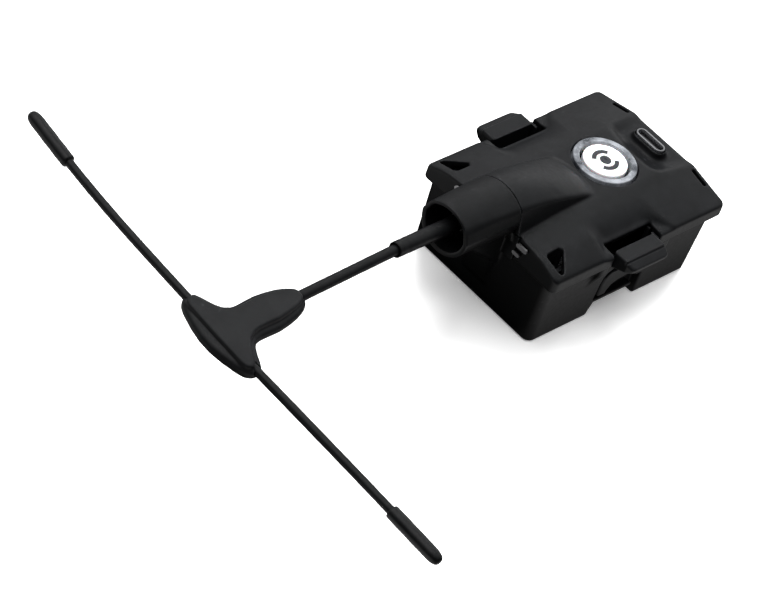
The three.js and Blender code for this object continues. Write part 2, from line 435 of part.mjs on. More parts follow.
// --- antenna ---
{
  const sag = new THREE.Matrix4().makeTranslation(SLEEVE_END, 0, AXIS_Z)
    .multiply(new THREE.Matrix4().makeRotationY(-DROOP))
    .multiply(new THREE.Matrix4().makeTranslation(-SLEEVE_END, 0, -AXIS_Z));
  const roll = new THREE.Matrix4().makeTranslation(0, 0, AXIS_Z)
    .multiply(new THREE.Matrix4().makeRotationX(ROLL))
    .multiply(new THREE.Matrix4().makeTranslation(0, 0, -AXIS_Z));
  const placed = (g, bent) => { if (bent) g.applyMatrix4(sag); g.applyMatrix4(roll); return g; };
  const nut = cut(cylX(hexR(7.5), -43.4, -36.6, 0, AXIS_Z, 6), cylX(3.45, -42.3, -35, 0, AXIS_Z, 24), cylX(2.55, -45, -42, 0, AXIS_Z, 24));
  add("antenna_coupling_nut", nut, BRASS, 0.3, 0.95);
  const plug = join(cylX(1.9, -41.0, -37.9, 0, AXIS_Z, 20), cylX(3.1, -42.0, -40.75, 0, AXIS_Z, 24), cylX(2.2, -45.5, -41.9, 0, AXIS_Z, 20), cylX(1.35, -49, -45.4, 0, AXIS_Z, 16));
  add("antenna_plug_body", placed(cut(plug, cylX(0.75, -39.5, -37, 0, AXIS_Z, 12))), BRASS, 0.3, 0.95);
  add("antenna_plug_pin", placed(cylX(0.42, -39.2, -35.0, 0, AXIS_Z, 12)), BRASS, 0.25, 0.95);
  add("antenna_sleeve", placed(cut(cylX(2.05, SLEEVE_END, -45.8, 0, AXIS_Z, 24), cylX(1.7, SLEEVE_END - 1, -45, 0, AXIS_Z, 20))), RUBBER, 0.5);
  // stem: straight in the sleeve, then sagging
  const c = circle(STEM_R, 20, 0, 0);
  const mid = SLEEVE_END, endX = TEE_X + 16.5;
  const st = [[-49.4, 0], [mid + 1.0, 0], [mid - 1.0, -0.055 * 0.5], [endX, -Math.tan(DROOP) * (mid - endX)]];
  const stem = loft(st.slice().reverse().map(([x, dz]) => ({ p: c.map(([u, v]) => [u, v + AXIS_Z + dz]), w: x })), alongX);
  add("antenna_stem", placed(stem), RUBBER, 0.45);
  // tee housing: flat top, slightly smaller flat foot, bulged edge at mid height
  const top = [[22.0, 0.9], [21.4, 1.8], [20.0, 2.6], [17.5, 3.3], [15, 3.75], [12, 4.1], [9, 4.0], [6, 3.95], [4, 4.4], [2.2, 5.4], [0.8, 7.4], [-0.4, 9.6], [-1.2, 11.0], [-2.3, 11.9], [-3.4, 11.7], [-4.2, 10.9], [-4.6, 9.4], [-4.8, 5], [-4.9, 1.5]];
  const midp = [[22.7, 1.0], [22.0, 2.4], [20.5, 3.5], [18.0, 4.4], [15, 5.0], [12, 5.35], [9, 5.25], [6, 5.15], [4.2, 5.5], [2.9, 6.6], [1.8, 8.6], [1.0, 10.4], [0, 12.2], [-1.7, 13.2], [-3.2, 12.8], [-4.4, 11.6], [-5.3, 9.6], [-6.4, 5.5], [-7.0, 1.8]];
  const full = (h) => [...h, ...h.slice().reverse().map(([x, y]) => [x, -y])].map(([x, y]) => [TEE_X + x, y]);
  const tz = AXIS_Z;
  const foot = top.map(([x, y]) => [x * 0.95, y * 0.92]);
  let tee = loft([{ p: full(foot), w: tz - 2.3 }, { p: full(midp), w: tz - 0.25 }, { p: full(midp), w: tz + 0.25 }, { p: full(top), w: tz + 2.5 }], alongZ);
  // offset of the dipole's centre line along x: it leaves the tee near its front and is swept back towards the tips
  const SWEEP = {
    far: [[0, -1.95], [30, -2.0], [38, -1.92], [46, -1.66], [54.7, -1.18], [63.3, -0.48], [73.6, 0.55]],
    near: [[0, -1.9], [11, -1.5], [20, -1.14], [28, -0.87], [37, -0.57], [46, -0.29], [54.3, -0.07], [63, 0.12], [73.6, 0.36]],
  };
  const xo = (n, y) => lerpT(SWEEP[n], y)[1];
  const swept = (n, s, r, sides, y0, y1) => {
    const ys = [y0, ...SWEEP[n].map(([y]) => y).filter((y) => y > y0 + 1 && y < y1 - 1), y1];
    const secs = ys.map((y) => ({ p: circle(r, sides, tz, TEE_X + xo(n, y)), w: s * y }));
    return loft(s > 0 ? secs : secs.reverse(), alongY);
  };
  tee = cut(tee, swept("far", 1, ARM_R + 0.28, 16, 2.2, 20), swept("near", -1, ARM_R + 0.28, 16, 2.2, 20), cylX(STEM_R + 0.3, TEE_X + 16.2, TEE_X + 30, 0, tz, 20), box(TEE_X - 3.6, TEE_X + 16.3, -1.9, 1.9, tz - 0.95, tz + 0.95));
  add("tee_housing", placed(tee, true), RUBBER, 0.5);
  add("tee_balun_board", placed(box(TEE_X - 3.3, TEE_X + 15.8, -1.5, 1.5, tz - 0.5, tz + 0.5), true), 0x15181a, 0.5);
  for (const [n, s] of [["far", 1], ["near", -1]]) {
    add(`dipole_arm_${n}`, placed(swept(n, s, ARM_R, 16, 2.4, ARM_LEN - 1.6), true), RUBBER, 0.45);
    const shell = swept(n, s, TIP_R, 20, ARM_LEN - TIP_LEN, ARM_LEN), hole = swept(n, s, ARM_R + 0.28, 16, ARM_LEN - TIP_LEN - 1, ARM_LEN - 1.2);
    add(`dipole_tip_${n}`, placed(cut(shell, hole), true), RUBBER, 0.55);
  }
}

export default group;
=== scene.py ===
import json
import math

import bpy
import numpy as np
from mathutils import Matrix, Vector


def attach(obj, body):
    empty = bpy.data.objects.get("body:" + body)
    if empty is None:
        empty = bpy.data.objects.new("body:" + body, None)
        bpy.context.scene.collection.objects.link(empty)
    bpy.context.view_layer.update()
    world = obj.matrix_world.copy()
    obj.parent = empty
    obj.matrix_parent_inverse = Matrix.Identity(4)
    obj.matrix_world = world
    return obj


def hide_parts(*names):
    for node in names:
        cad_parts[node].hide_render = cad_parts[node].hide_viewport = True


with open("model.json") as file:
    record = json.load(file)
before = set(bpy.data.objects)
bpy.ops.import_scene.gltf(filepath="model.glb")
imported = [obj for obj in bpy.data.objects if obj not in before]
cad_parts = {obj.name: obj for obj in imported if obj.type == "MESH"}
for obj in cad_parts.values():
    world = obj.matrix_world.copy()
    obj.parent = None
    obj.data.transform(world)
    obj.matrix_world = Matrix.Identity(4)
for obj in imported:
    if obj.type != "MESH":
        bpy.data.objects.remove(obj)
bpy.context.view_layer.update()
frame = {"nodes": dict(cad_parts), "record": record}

F32 = np.float32

# ------------------------------------------------------------------ dimensions, mm
LID_LEN, LID_WID, LID_R = 62.5, 46.4, 1.7
EDGE_Z, SKIRT_Z = 23.1, 19.6
LX = -LID_LEN / 2
BASE_H = SKIRT_Z - 0.3
NOSE_END, AXIS_Z = -50.1, 29.98
BTN_X, RING_RO, RING_RI, CAP_R = 7.9, 8.55, 6.35, 5.8
USB_X, USB_Z, USB_W, USB_T = 24.8, 27.95, 8.94, 3.2
LATCH_X, LATCH_HX = -1.55, 7.2
SLEEVE_END, TEE_X, ARM_LEN, ARM_R, TIP_R, TIP_LEN, STEM_R = -66.55, -118.9, 73.6, 1.1, 1.78, 16.2, 1.4
DROOP, ROLL = math.radians(3.1), math.radians(4.1)
SCREWS = [(-24, 14.5), (-24, -14.5), (24.5, 14.5), (24.5, -14.5)]
HUMP = [
    [-18.9, 10.75, 13.05, 6.1, 7.7], [-10, 10.85, 13.4, 6.55, 8.1], [0, 10.4, 13.0, 6.9, 8.9],
    [5, 9.95, 12.4, 7.0, 8.75], [10, 9.2, 11.4, 7.05, 8.55], [15, 8.2, 10.0, 7.1, 8.3],
    [19, 7.15, 8.6, 7.2, 8.05], [23, 6.0, 7.3, 7.3, 7.75], [26, 5.0, 6.1, 7.37, 7.5],
    [28, 4.15, 5.15, 7.4, 7.42], [29.3, 3.4, 4.42, 7.4, 7.4], [30.6, 2.4, 3.3, 7.4, 7.4], [33, 0.2, 1.2, 7.4, 7.4],
]
CROWN = [
    [LX - 2, 3.5, 2.5, 0.95], [LX, 3.6, 2.6, 1.0], [LX + 12, 4.45, 2.9, 1.0],
    [LX + 50, 4.35, 2.1, 0.6], [-LX, 3.0, 1.25, 0.35], [-LX + 2, 2.8, 1.15, 0.3],
]


# ------------------------------------------------------------------ distance fields
class Grid:
    def __init__(self, lo, hi, h):
        self.h = h
        self.o = np.array(lo, float) - 2.37 * h
        n = np.ceil((np.array(hi, float) - np.array(lo, float)) / h + 5).astype(int)
        self.x, self.y, self.z = [(self.o[i] + h * np.arange(n[i])).astype(F32) for i in range(3)]
        self.X, self.Y, self.Z = self.x[:, None, None], self.y[None, :, None], self.z[None, None, :]
        self.AY = np.abs(self.Y)


def smax(a, b, k):
    h = np.maximum(k - np.abs(a - b), 0) / k
    return np.maximum(a, b) + h * h * (k * 0.25)


def smin(a, b, k):
    h = np.maximum(k - np.abs(a - b), 0) / k
    return np.minimum(a, b) - h * h * (k * 0.25)


def cut(a, b, k=0.3):
    return smax(a, -b, k)


def hat(v, a, b):
    """Slab a..b along one axis."""
    return np.maximum(a - v, v - b)


def slab3(g, x0, x1, y0, y1, z0, z1, k=0.0, sym=False):
    y = g.AY if sym else g.Y
    p, q, r = hat(g.X, x0, x1), hat(y, y0, y1), hat(g.Z, z0, z1)
    if k <= 0:
        return np.maximum(np.maximum(p, q), r)
    return smax(smax(p, q, k), r, k)


def rrect(a, b, ha, hb, r):
    """Distance to a rounded rectangle."""
    p, q = np.abs(a) - (ha - r), np.abs(b) - (hb - r)
    return np.sqrt(np.maximum(p, 0) ** 2 + np.maximum(q, 0) ** 2) + np.minimum(np.maximum(p, q), 0) - r


def poly(a, b, pts, r=0.0):
    """Distance to a polygon, its corners rounded by r."""
    pts = [np.array(p, float) for p in pts]
    d = np.full(np.broadcast(a, b).shape, 1e9, F32)
    inside = np.zeros(d.shape, bool)
    for i in range(len(pts)):
        p, q = pts[i], pts[(i + 1) % len(pts)]
        e = q - p
        wa, wb = a - p[0], b - p[1]
        t = np.clip((wa * e[0] + wb * e[1]) / (e @ e), 0, 1)
        d = np.minimum(d, (wa - e[0] * t) ** 2 + (wb - e[1] * t) ** 2)
        if abs(e[1]) > 1e-9:
            c = ((b >= min(p[1], q[1])) & (b < max(p[1], q[1]))) & (a < p[0] + (b - p[1]) / e[1] * e[0])
            inside ^= c
    d = np.sqrt(d)
    return (np.where(inside, -d, d) - r).astype(F32)


def blur(v, sx, axis, step):
    """Gaussian blur with edge repeat along one axis of a 1-D or 2-D array."""
    n = max(1, int(3 * sx / step))
    k = np.exp(-0.5 * (np.arange(-n, n + 1) * step / sx) ** 2)
    k /= k.sum()
    v = np.moveaxis(v, axis, -1)
    first, last = v[..., :1], v[..., -1:]
    a, b = v[..., 1:2] - first, last - v[..., -2:-1]
    i = np.arange(n, 0, -1)
    pad = np.concatenate([first - a * i, v, last + b * i[::-1]], -1)
    out = sum(k[j] * pad[..., j:j + v.shape[-1]] for j in range(2 * n + 1))
    return np.moveaxis(out, -1, axis)


def lookup(T, x, col, sig):
    xs = np.arange(T[0][0] - 4, T[-1][0] + 4, 0.1)
    v = np.interp(xs, [r[0] for r in T], [r[col] for r in T])
    return np.interp(x, xs, blur(v, sig, 0, 0.1)).astype(F32)


def nets(F, g):
    """Surface through the zero of F: one vertex in each cell that it crosses."""
    s = F < 0
    c = sum(s[i:s.shape[0] - 1 + i, j:s.shape[1] - 1 + j, k:s.shape[2] - 1 + k].astype(np.uint8)
            for i in (0, 1) for j in (0, 1) for k in (0, 1))
    act = (c > 0) & (c < 8)
    ids = np.full(act.shape, -1, np.int32)
    ijk = np.argwhere(act)
    ids[act] = np.arange(len(ijk))
    corners = [(i, j, k) for i in (0, 1) for j in (0, 1) for k in (0, 1)]
    vals = [F[ijk[:, 0] + i, ijk[:, 1] + j, ijk[:, 2] + k] for i, j, k in corners]
    acc, cnt = np.zeros((len(ijk), 3)), np.zeros(len(ijk))
    for a in range(8):
        for b in range(a + 1, 8):
            d = np.array(corners[b]) - np.array(corners[a])
            if np.abs(d).sum() != 1:
                continue
            m = (vals[a] < 0) != (vals[b] < 0)
            t = vals[a][m] / (vals[a][m] - vals[b][m])
            acc[m] += np.array(corners[a]) + t[:, None] * d
            cnt[m] += 1
    verts = g.o + (ijk + acc / cnt[:, None]) * g.h
    faces = []
    for ax in range(3):
        lo = [slice(1, -1)] * 3
        hi = [slice(1, -1)] * 3
        lo[ax], hi[ax] = slice(0, -1), slice(1, None)
        sa, sb = s[tuple(lo)], s[tuple(hi)]
        e = np.argwhere(sa != sb)
        flip = sa[e[:, 0], e[:, 1], e[:, 2]]
        u, v = (ax + 1) % 3, (ax + 2) % 3
        base = e.copy()
        base[:, u] += 1
        base[:, v] += 1
        q = []
        for du, dv in ((-1, -1), (0, -1), (0, 0), (-1, 0)):
            p = base.copy()
            p[:, u] += du
            p[:, v] += dv
            q.append(ids[p[:, 0], p[:, 1], p[:, 2]])
        q = np.stack(q, 1)
        q[~flip] = q[~flip][:, ::-1]
        faces.append(q)
    return verts, np.concatenate(faces)


# ------------------------------------------------------------------ meshes
def mesh_object(name, verts, faces, mat, smooth=True, scale=0.001):
    verts = np.asarray(verts, np.float32) * scale
    me = bpy.data.meshes.new(name)
    if isinstance(faces, np.ndarray):
        n, k = faces.shape
        me.vertices.add(len(verts))
        me.vertices.foreach_set("co", verts.ravel())
        me.loops.add(n * k)
        me.loops.foreach_set("vertex_index", faces.astype(np.int32).ravel())
        me.polygons.add(n)
        me.polygons.foreach_set("loop_start", np.arange(0, n * k, k, dtype=np.int32))
        me.update(calc_edges=True)
        me.validate()
    else:
        me.from_pydata([tuple(map(float, v)) for v in verts], [], faces)
        me.validate()
    me.polygons.foreach_set("use_smooth", np.full(len(me.polygons), smooth))
    me.materials.append(mat)
    me.update()
    ob = bpy.data.objects.new(name, me)
    bpy.context.scene.collection.objects.link(ob)
    return ob


def moved(verts, m):
    v = np.asarray(verts, float)
    m = np.array(m)
    return v @ m[:3, :3].T + m[:3, 3]


def drop_loose(verts, faces):
    """Labels the connected surfaces but returns the mesh unchanged."""
    parent = np.arange(len(verts))
    for _ in range(60):
        m = parent[faces].min(1)
        new = parent.copy()
        for k in range(faces.shape[1]):
            np.minimum.at(new, faces[:, k], m)
        new = new[new]
        if (new == parent).all():
            break
        parent = new
    return verts, faces


def loft(rings, closed=True, caps=True):
    """Surface through rings of equal length; rings is (m, n, 3)."""
    rings = np.asarray(rings, float)
    m, n, _ = rings.shape
    faces = []
    for a in range(m - 1):
        for b in range(n if closed else n - 1):
            c = (b + 1) % n
            faces.append((a * n + b, a * n + c, (a + 1) * n + c, (a + 1) * n + b))
    if caps:
        faces.append(tuple(range(n))[::-1])
        faces.append(tuple(range((m - 1) * n, m * n)))
    return rings.reshape(-1, 3), faces


def tube(points, radii, sides=28):
    """Round rod through points, each with its own radius."""
    p = np.asarray(points, float)
    t = np.gradient(p, axis=0)
    t /= np.linalg.norm(t, axis=1)[:, None]
    up = np.array([0, 0, 1.0]) if abs(t[0][2]) < 0.9 else np.array([0, 1.0, 0])
    rings = []
    for c, d, r in zip(p, t, radii):
        a = np.cross(d, up)
        a /= np.linalg.norm(a)
        b = np.cross(d, a)
        w = np.linspace(0, 2 * math.pi, sides, endpoint=False)[:, None]
        rings.append(c + r * (np.cos(w) * -a + np.sin(w) * b))
    return loft(rings)


def lathe(profile, cx=0.0, cy=0.0, sides=128):
    """Closed profile of (radius, z) turned about a vertical axis."""
    w = np.linspace(0, 2 * math.pi, sides, endpoint=False)
    pr = np.asarray(profile, float)
    n = len(pr)
    verts = np.stack([cx + pr[:, 0][None] * np.cos(w)[:, None], cy + pr[:, 0][None] * np.sin(w)[:, None],
                      np.broadcast_to(pr[:, 1][None], (sides, n))], -1).reshape(-1, 3)
    faces = [(i * n + j, ((i + 1) % sides) * n + j, ((i + 1) % sides) * n + (j + 1) % n, i * n + (j + 1) % n)
             for i in range(sides) for j in range(n)]
    return verts, faces


def round_profile(pts, r, n=4):
    """Closed (u, v) outline with each corner replaced by an arc-like curve of size r."""
    out = []
    m = len(pts)
    for i in range(m):
        p, a, b = np.array(pts[i], float), np.array(pts[i - 1], float), np.array(pts[(i + 1) % m], float)
        rr = min(r[i] if isinstance(r, (list, tuple)) else r, np.linalg.norm(a - p) * 0.45, np.linalg.norm(b - p) * 0.45)
        if rr < 1e-4:
            out.append(p)
            continue
        s, e = p + (a - p) / np.linalg.norm(a - p) * rr, p + (b - p) / np.linalg.norm(b - p) * rr
        for k in range(n + 1):
            t = k / n
            out.append((1 - t) ** 2 * s + 2 * t * (1 - t) * p + t * t * e)
    return out


# ------------------------------------------------------------------ materials
def principled(name):
    m = bpy.data.materials.new(name)
    m.use_nodes = True
    nt = m.node_tree
    return m, nt, nt.nodes["Principled BSDF"]


def noise(nt, co, scale, detail=3.0, rough=0.5, dist=0.0):
    n = nt.nodes.new("ShaderNodeTexNoise")
    n.inputs["Scale"].default_value = scale
    n.inputs["Detail"].default_value = detail
    n.inputs["Roughness"].default_value = rough
    n.inputs["Distortion"].default_value = dist
    nt.links.new(co, n.inputs["Vector"])
    return n.outputs["Fac"]


def remap(nt, fac, a, b, lo=0.35, hi=0.65):
    n = nt.nodes.new("ShaderNodeMapRange")
    n.inputs["From Min"].default_value = lo
    n.inputs["From Max"].default_value = hi
    n.inputs["To Min"].default_value = a
    n.inputs["To Max"].default_value = b
    nt.links.new(fac, n.inputs["Value"])
    return n.outputs["Result"]


def mixcol(nt, fac, a, b):
    n = nt.nodes.new("ShaderNodeMix")
    n.data_type = "RGBA"
    n.inputs[6].default_value = (*a, 1)
    n.inputs[7].default_value = (*b, 1)
    nt.links.new(fac, n.inputs[0])
    return n.outputs[2]


def finish(name, a, b, rough=(0.4, 0.5), grain=5200.0, bump=0.06, bump_d=0.00004, mottle=260.0, metal=0.0,
           spec=0.5, coat=0.0, coat_rough=0.1, convex_edge_colour=None, stretch=None, sub=0.0, trans=0.0, ior=1.5, wave=0.0):
    """Procedural finish: mottled colour and roughness, fine surface grain, and where asked a lighter colour on convex
    edges, in noisy patches.
    """
    m, nt, bs = principled(name)
    tc = nt.nodes.new("ShaderNodeTexCoord")
    co = tc.outputs["Object"]
    if stretch:
        mp = nt.nodes.new("ShaderNodeMapping")
        mp.inputs["Scale"].default_value = stretch
        nt.links.new(co, mp.inputs["Vector"])
        co = mp.outputs["Vector"]
    big = noise(nt, co, mottle, 4.0, 0.6)
    col = mixcol(nt, remap(nt, big, 0, 1), a, b)
    # where asked, convex edges (high Pointiness) get a lighter colour, broken into noisy patches
    if convex_edge_colour:
        geo = nt.nodes.new("ShaderNodeNewGeometry")
        ramp = remap(nt, geo.outputs["Pointiness"], 0, 1, 0.51, 0.56)
        spot = remap(nt, noise(nt, co, mottle * 2.1, 3.0, 0.6), 0.0, 1.0, 0.35, 0.7)
        mul = nt.nodes.new("ShaderNodeMath")
        mul.operation = "MULTIPLY"
        nt.links.new(ramp, mul.inputs[0])
        nt.links.new(spot, mul.inputs[1])
        n = nt.nodes.new("ShaderNodeMix")
        n.data_type = "RGBA"
        nt.links.new(col, n.inputs[6])
        n.inputs[7].default_value = (*convex_edge_colour, 1)
        nt.links.new(mul.outputs[0], n.inputs[0])
        col = n.outputs[2]
    nt.links.new(col, bs.inputs["Base Color"])
    rr = noise(nt, co, mottle * 3.3, 3.0, 0.6)
    nt.links.new(remap(nt, rr, rough[0], rough[1]), bs.inputs["Roughness"])
    fine = noise(nt, co, grain, 2.0, 0.55)
    bn = nt.nodes.new("ShaderNodeBump")
    bn.inputs["Strength"].default_value = bump
    bn.inputs["Distance"].default_value = bump_d
    nt.links.new(fine, bn.inputs["Height"])
    if wave:
        soft = noise(nt, co, mottle * 0.8, 2.0, 0.5)
        b2 = nt.nodes.new("ShaderNodeBump")
        b2.inputs["Strength"].default_value = wave
        b2.inputs["Distance"].default_value = 0.0003
        nt.links.new(soft, b2.inputs["Height"])
        nt.links.new(bn.outputs["Normal"], b2.inputs["Normal"])
        nt.links.new(b2.outputs["Normal"], bs.inputs["Normal"])
    else:
        nt.links.new(bn.outputs["Normal"], bs.inputs["Normal"])
    bs.inputs["Metallic"].default_value = metal
    bs.inputs["Specular IOR Level"].default_value = spec
    bs.inputs["Coat Weight"].default_value = coat
    bs.inputs["Coat Roughness"].default_value = coat_rough
    bs.inputs["Subsurface Weight"].default_value = sub
    bs.inputs["Subsurface Scale"].default_value = 0.001
    bs.inputs["Transmission Weight"].default_value = trans
    bs.inputs["IOR"].default_value = ior
    return m


M = {
    "cover": finish("cover_satin_plastic", (0.0040, 0.0043, 0.0048), (0.0056, 0.0060, 0.0067), (0.37, 0.43), bump=0.06, spec=0.42, convex_edge_colour=(0.020, 0.021, 0.023)),
    "base": finish("base_satin_plastic", (0.0036, 0.0038, 0.0042), (0.0050, 0.0053, 0.0058), (0.38, 0.45), bump=0.07, spec=0.42, convex_edge_colour=(0.018, 0.019, 0.021)),
    "latch": finish("latch_satin_plastic", (0.0040, 0.0043, 0.0048), (0.0056, 0.0060, 0.0067), (0.37, 0.43), bump=0.06, spec=0.42, convex_edge_colour=(0.020, 0.021, 0.023)),
    "ring": finish("clear_ring", (0.030, 0.034, 0.041), (0.26, 0.275, 0.30), (0.16, 0.28), mottle=190.0, bump=0.05, spec=0.7, coat=0.8, coat_rough=0.10),
    "white": finish("button_white", (0.80, 0.81, 0.82), (0.86, 0.87, 0.88), (0.30, 0.36), bump=0.03, spec=0.5, sub=0.15),
    "mark": finish("mark_dark", (0.020, 0.022, 0.026), (0.028, 0.030, 0.034), (0.45, 0.55), bump=0.05),
    "port": finish("port_plated_steel", (0.62, 0.63, 0.65), (0.70, 0.71, 0.73), (0.20, 0.30), metal=1.0, bump=0.04, grain=3000.0),
    "shield": finish("shield_tin", (0.50, 0.51, 0.52), (0.60, 0.61, 0.62), (0.28, 0.40), metal=1.0, bump=0.05, grain=2500.0),
    "screw": finish("screw_zinc", (0.55, 0.55, 0.56), (0.66, 0.66, 0.67), (0.25, 0.38), metal=1.0, bump=0.05, grain=3000.0),
    "gold": finish("gold_plating", (0.66, 0.46, 0.16), (0.76, 0.55, 0.22), (0.20, 0.32), metal=1.0, bump=0.04, grain=2600.0),
    "blackplate": finish("black_plating", (0.018, 0.018, 0.019), (0.030, 0.030, 0.031), (0.30, 0.42), bump=0.05, spec=0.6),
    "alu": finish("spreader_aluminium", (0.42, 0.43, 0.45), (0.52, 0.53, 0.55), (0.35, 0.48), metal=1.0, bump=0.08, grain=1800.0, stretch=(1, 8, 1)),
    "board": finish("solder_mask_black", (0.010, 0.011, 0.011), (0.016, 0.018, 0.017), (0.25, 0.38), bump=0.06, mottle=900.0, coat=0.3),
    "black": finish("moulded_black", (0.014, 0.014, 0.015), (0.020, 0.020, 0.022), (0.45, 0.58), bump=0.10),
    "cream": finish("plunger_cream", (0.58, 0.50, 0.34), (0.66, 0.58, 0.42), (0.4, 0.5), bump=0.05),
    "led": finish("led_dome", (0.80, 0.74, 0.50), (0.88, 0.83, 0.62), (0.15, 0.25), bump=0.02, coat=0.5),
    "lead": finish("lead_brown", (0.16, 0.075, 0.03), (0.22, 0.11, 0.045), (0.3, 0.4), bump=0.04),
    "sleeve": finish("heat_shrink", (0.0036, 0.0038, 0.0042), (0.0056, 0.0058, 0.0062), (0.34, 0.44), bump=0.10, spec=0.45, wave=0.25),
    "jacket": finish("cable_jacket", (0.0034, 0.0036, 0.0040), (0.0056, 0.0058, 0.0064), (0.34, 0.46), bump=0.12, spec=0.45, wave=0.30, mottle=420.0),
    "tee": finish("tee_moulded_rubber", (0.0052, 0.0054, 0.0060), (0.0072, 0.0075, 0.0082), (0.40, 0.47), bump=0.07, spec=0.42, convex_edge_colour=(0.020, 0.021, 0.023)),
    "tip": finish("tip_rubber", (0.0036, 0.0038, 0.0042), (0.0058, 0.0060, 0.0065), (0.28, 0.38), bump=0.08, spec=0.5),
}
BY_SLOT = {
    "shell_plastic": "base", "cover_plastic": "cover", "light_ring": "ring", "button_white": "white", "mark_dark": "mark",
    "part_black": "black", "plunger_cream": "cream", "port_steel": "port", "shield_steel": "shield", "screw_steel": "screw",
    "spreader_aluminium": "alu", "board_green": "board", "board_black": "board", "lead_brown": "lead", "led_cream": "led", "gold_brass": "gold",
    "sleeve_rubber": "sleeve", "cable_jacket": "jacket", "tee_rubber": "tee", "tip_rubber": "tip", "plating_black": "blackplate",
}
SLOT_OF = {s["node"]: s["material_slot"] for s in frame["record"]["subparts"]}
for node, ob in frame["nodes"].items():
    mat = M[BY_SLOT[SLOT_OF[node]]]
    if len(ob.material_slots):
        for s in ob.material_slots:
            s.link = "OBJECT"
            s.material = mat
    else:
        ob.data.materials.append(mat)


def add(ob, body, *nodes):
    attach(ob, body)
    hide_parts(*nodes)
    return ob


# ------------------------------------------------------------------ top cover
def hump_fields(g, inset=0.0, k=0.7):
    """Raised tunnel over the antenna connector: crowned top, flat flared sides."""
    xs = g.x - LX
    cr, ap = lookup(HUMP, xs, 1, 0.9) - inset * 0.6, lookup(HUMP, xs, 2, 0.9) - inset
    yc, yb = lookup(HUMP, xs, 3, 0.9) - inset, lookup(HUMP, xs, 4, 0.9) - inset + 0.25
    cr, ap, yc, yb = [v[:, None].astype(F32) for v in (cr, ap, yc, yb)]
    y = g.y[None, :]
    top = EDGE_Z + cr + (ap - cr) * (1 - (y / yc) ** 2)
    gx, gy = np.gradient(top, g.h)
    top_f = (g.Z - top[:, :, None]) / np.sqrt(1 + gx ** 2 + gy ** 2)[:, :, None]
    t = (EDGE_Z + cr - g.z[None, :]) / np.maximum(cr - 1.2, 0.8)
    half = yc + (yb - yc) * np.clip(t, -1, 3)
    side_f = (g.AY - half[:, None, :]) * F32(0.98)
    return smax(top_f, side_f.astype(F32), k)


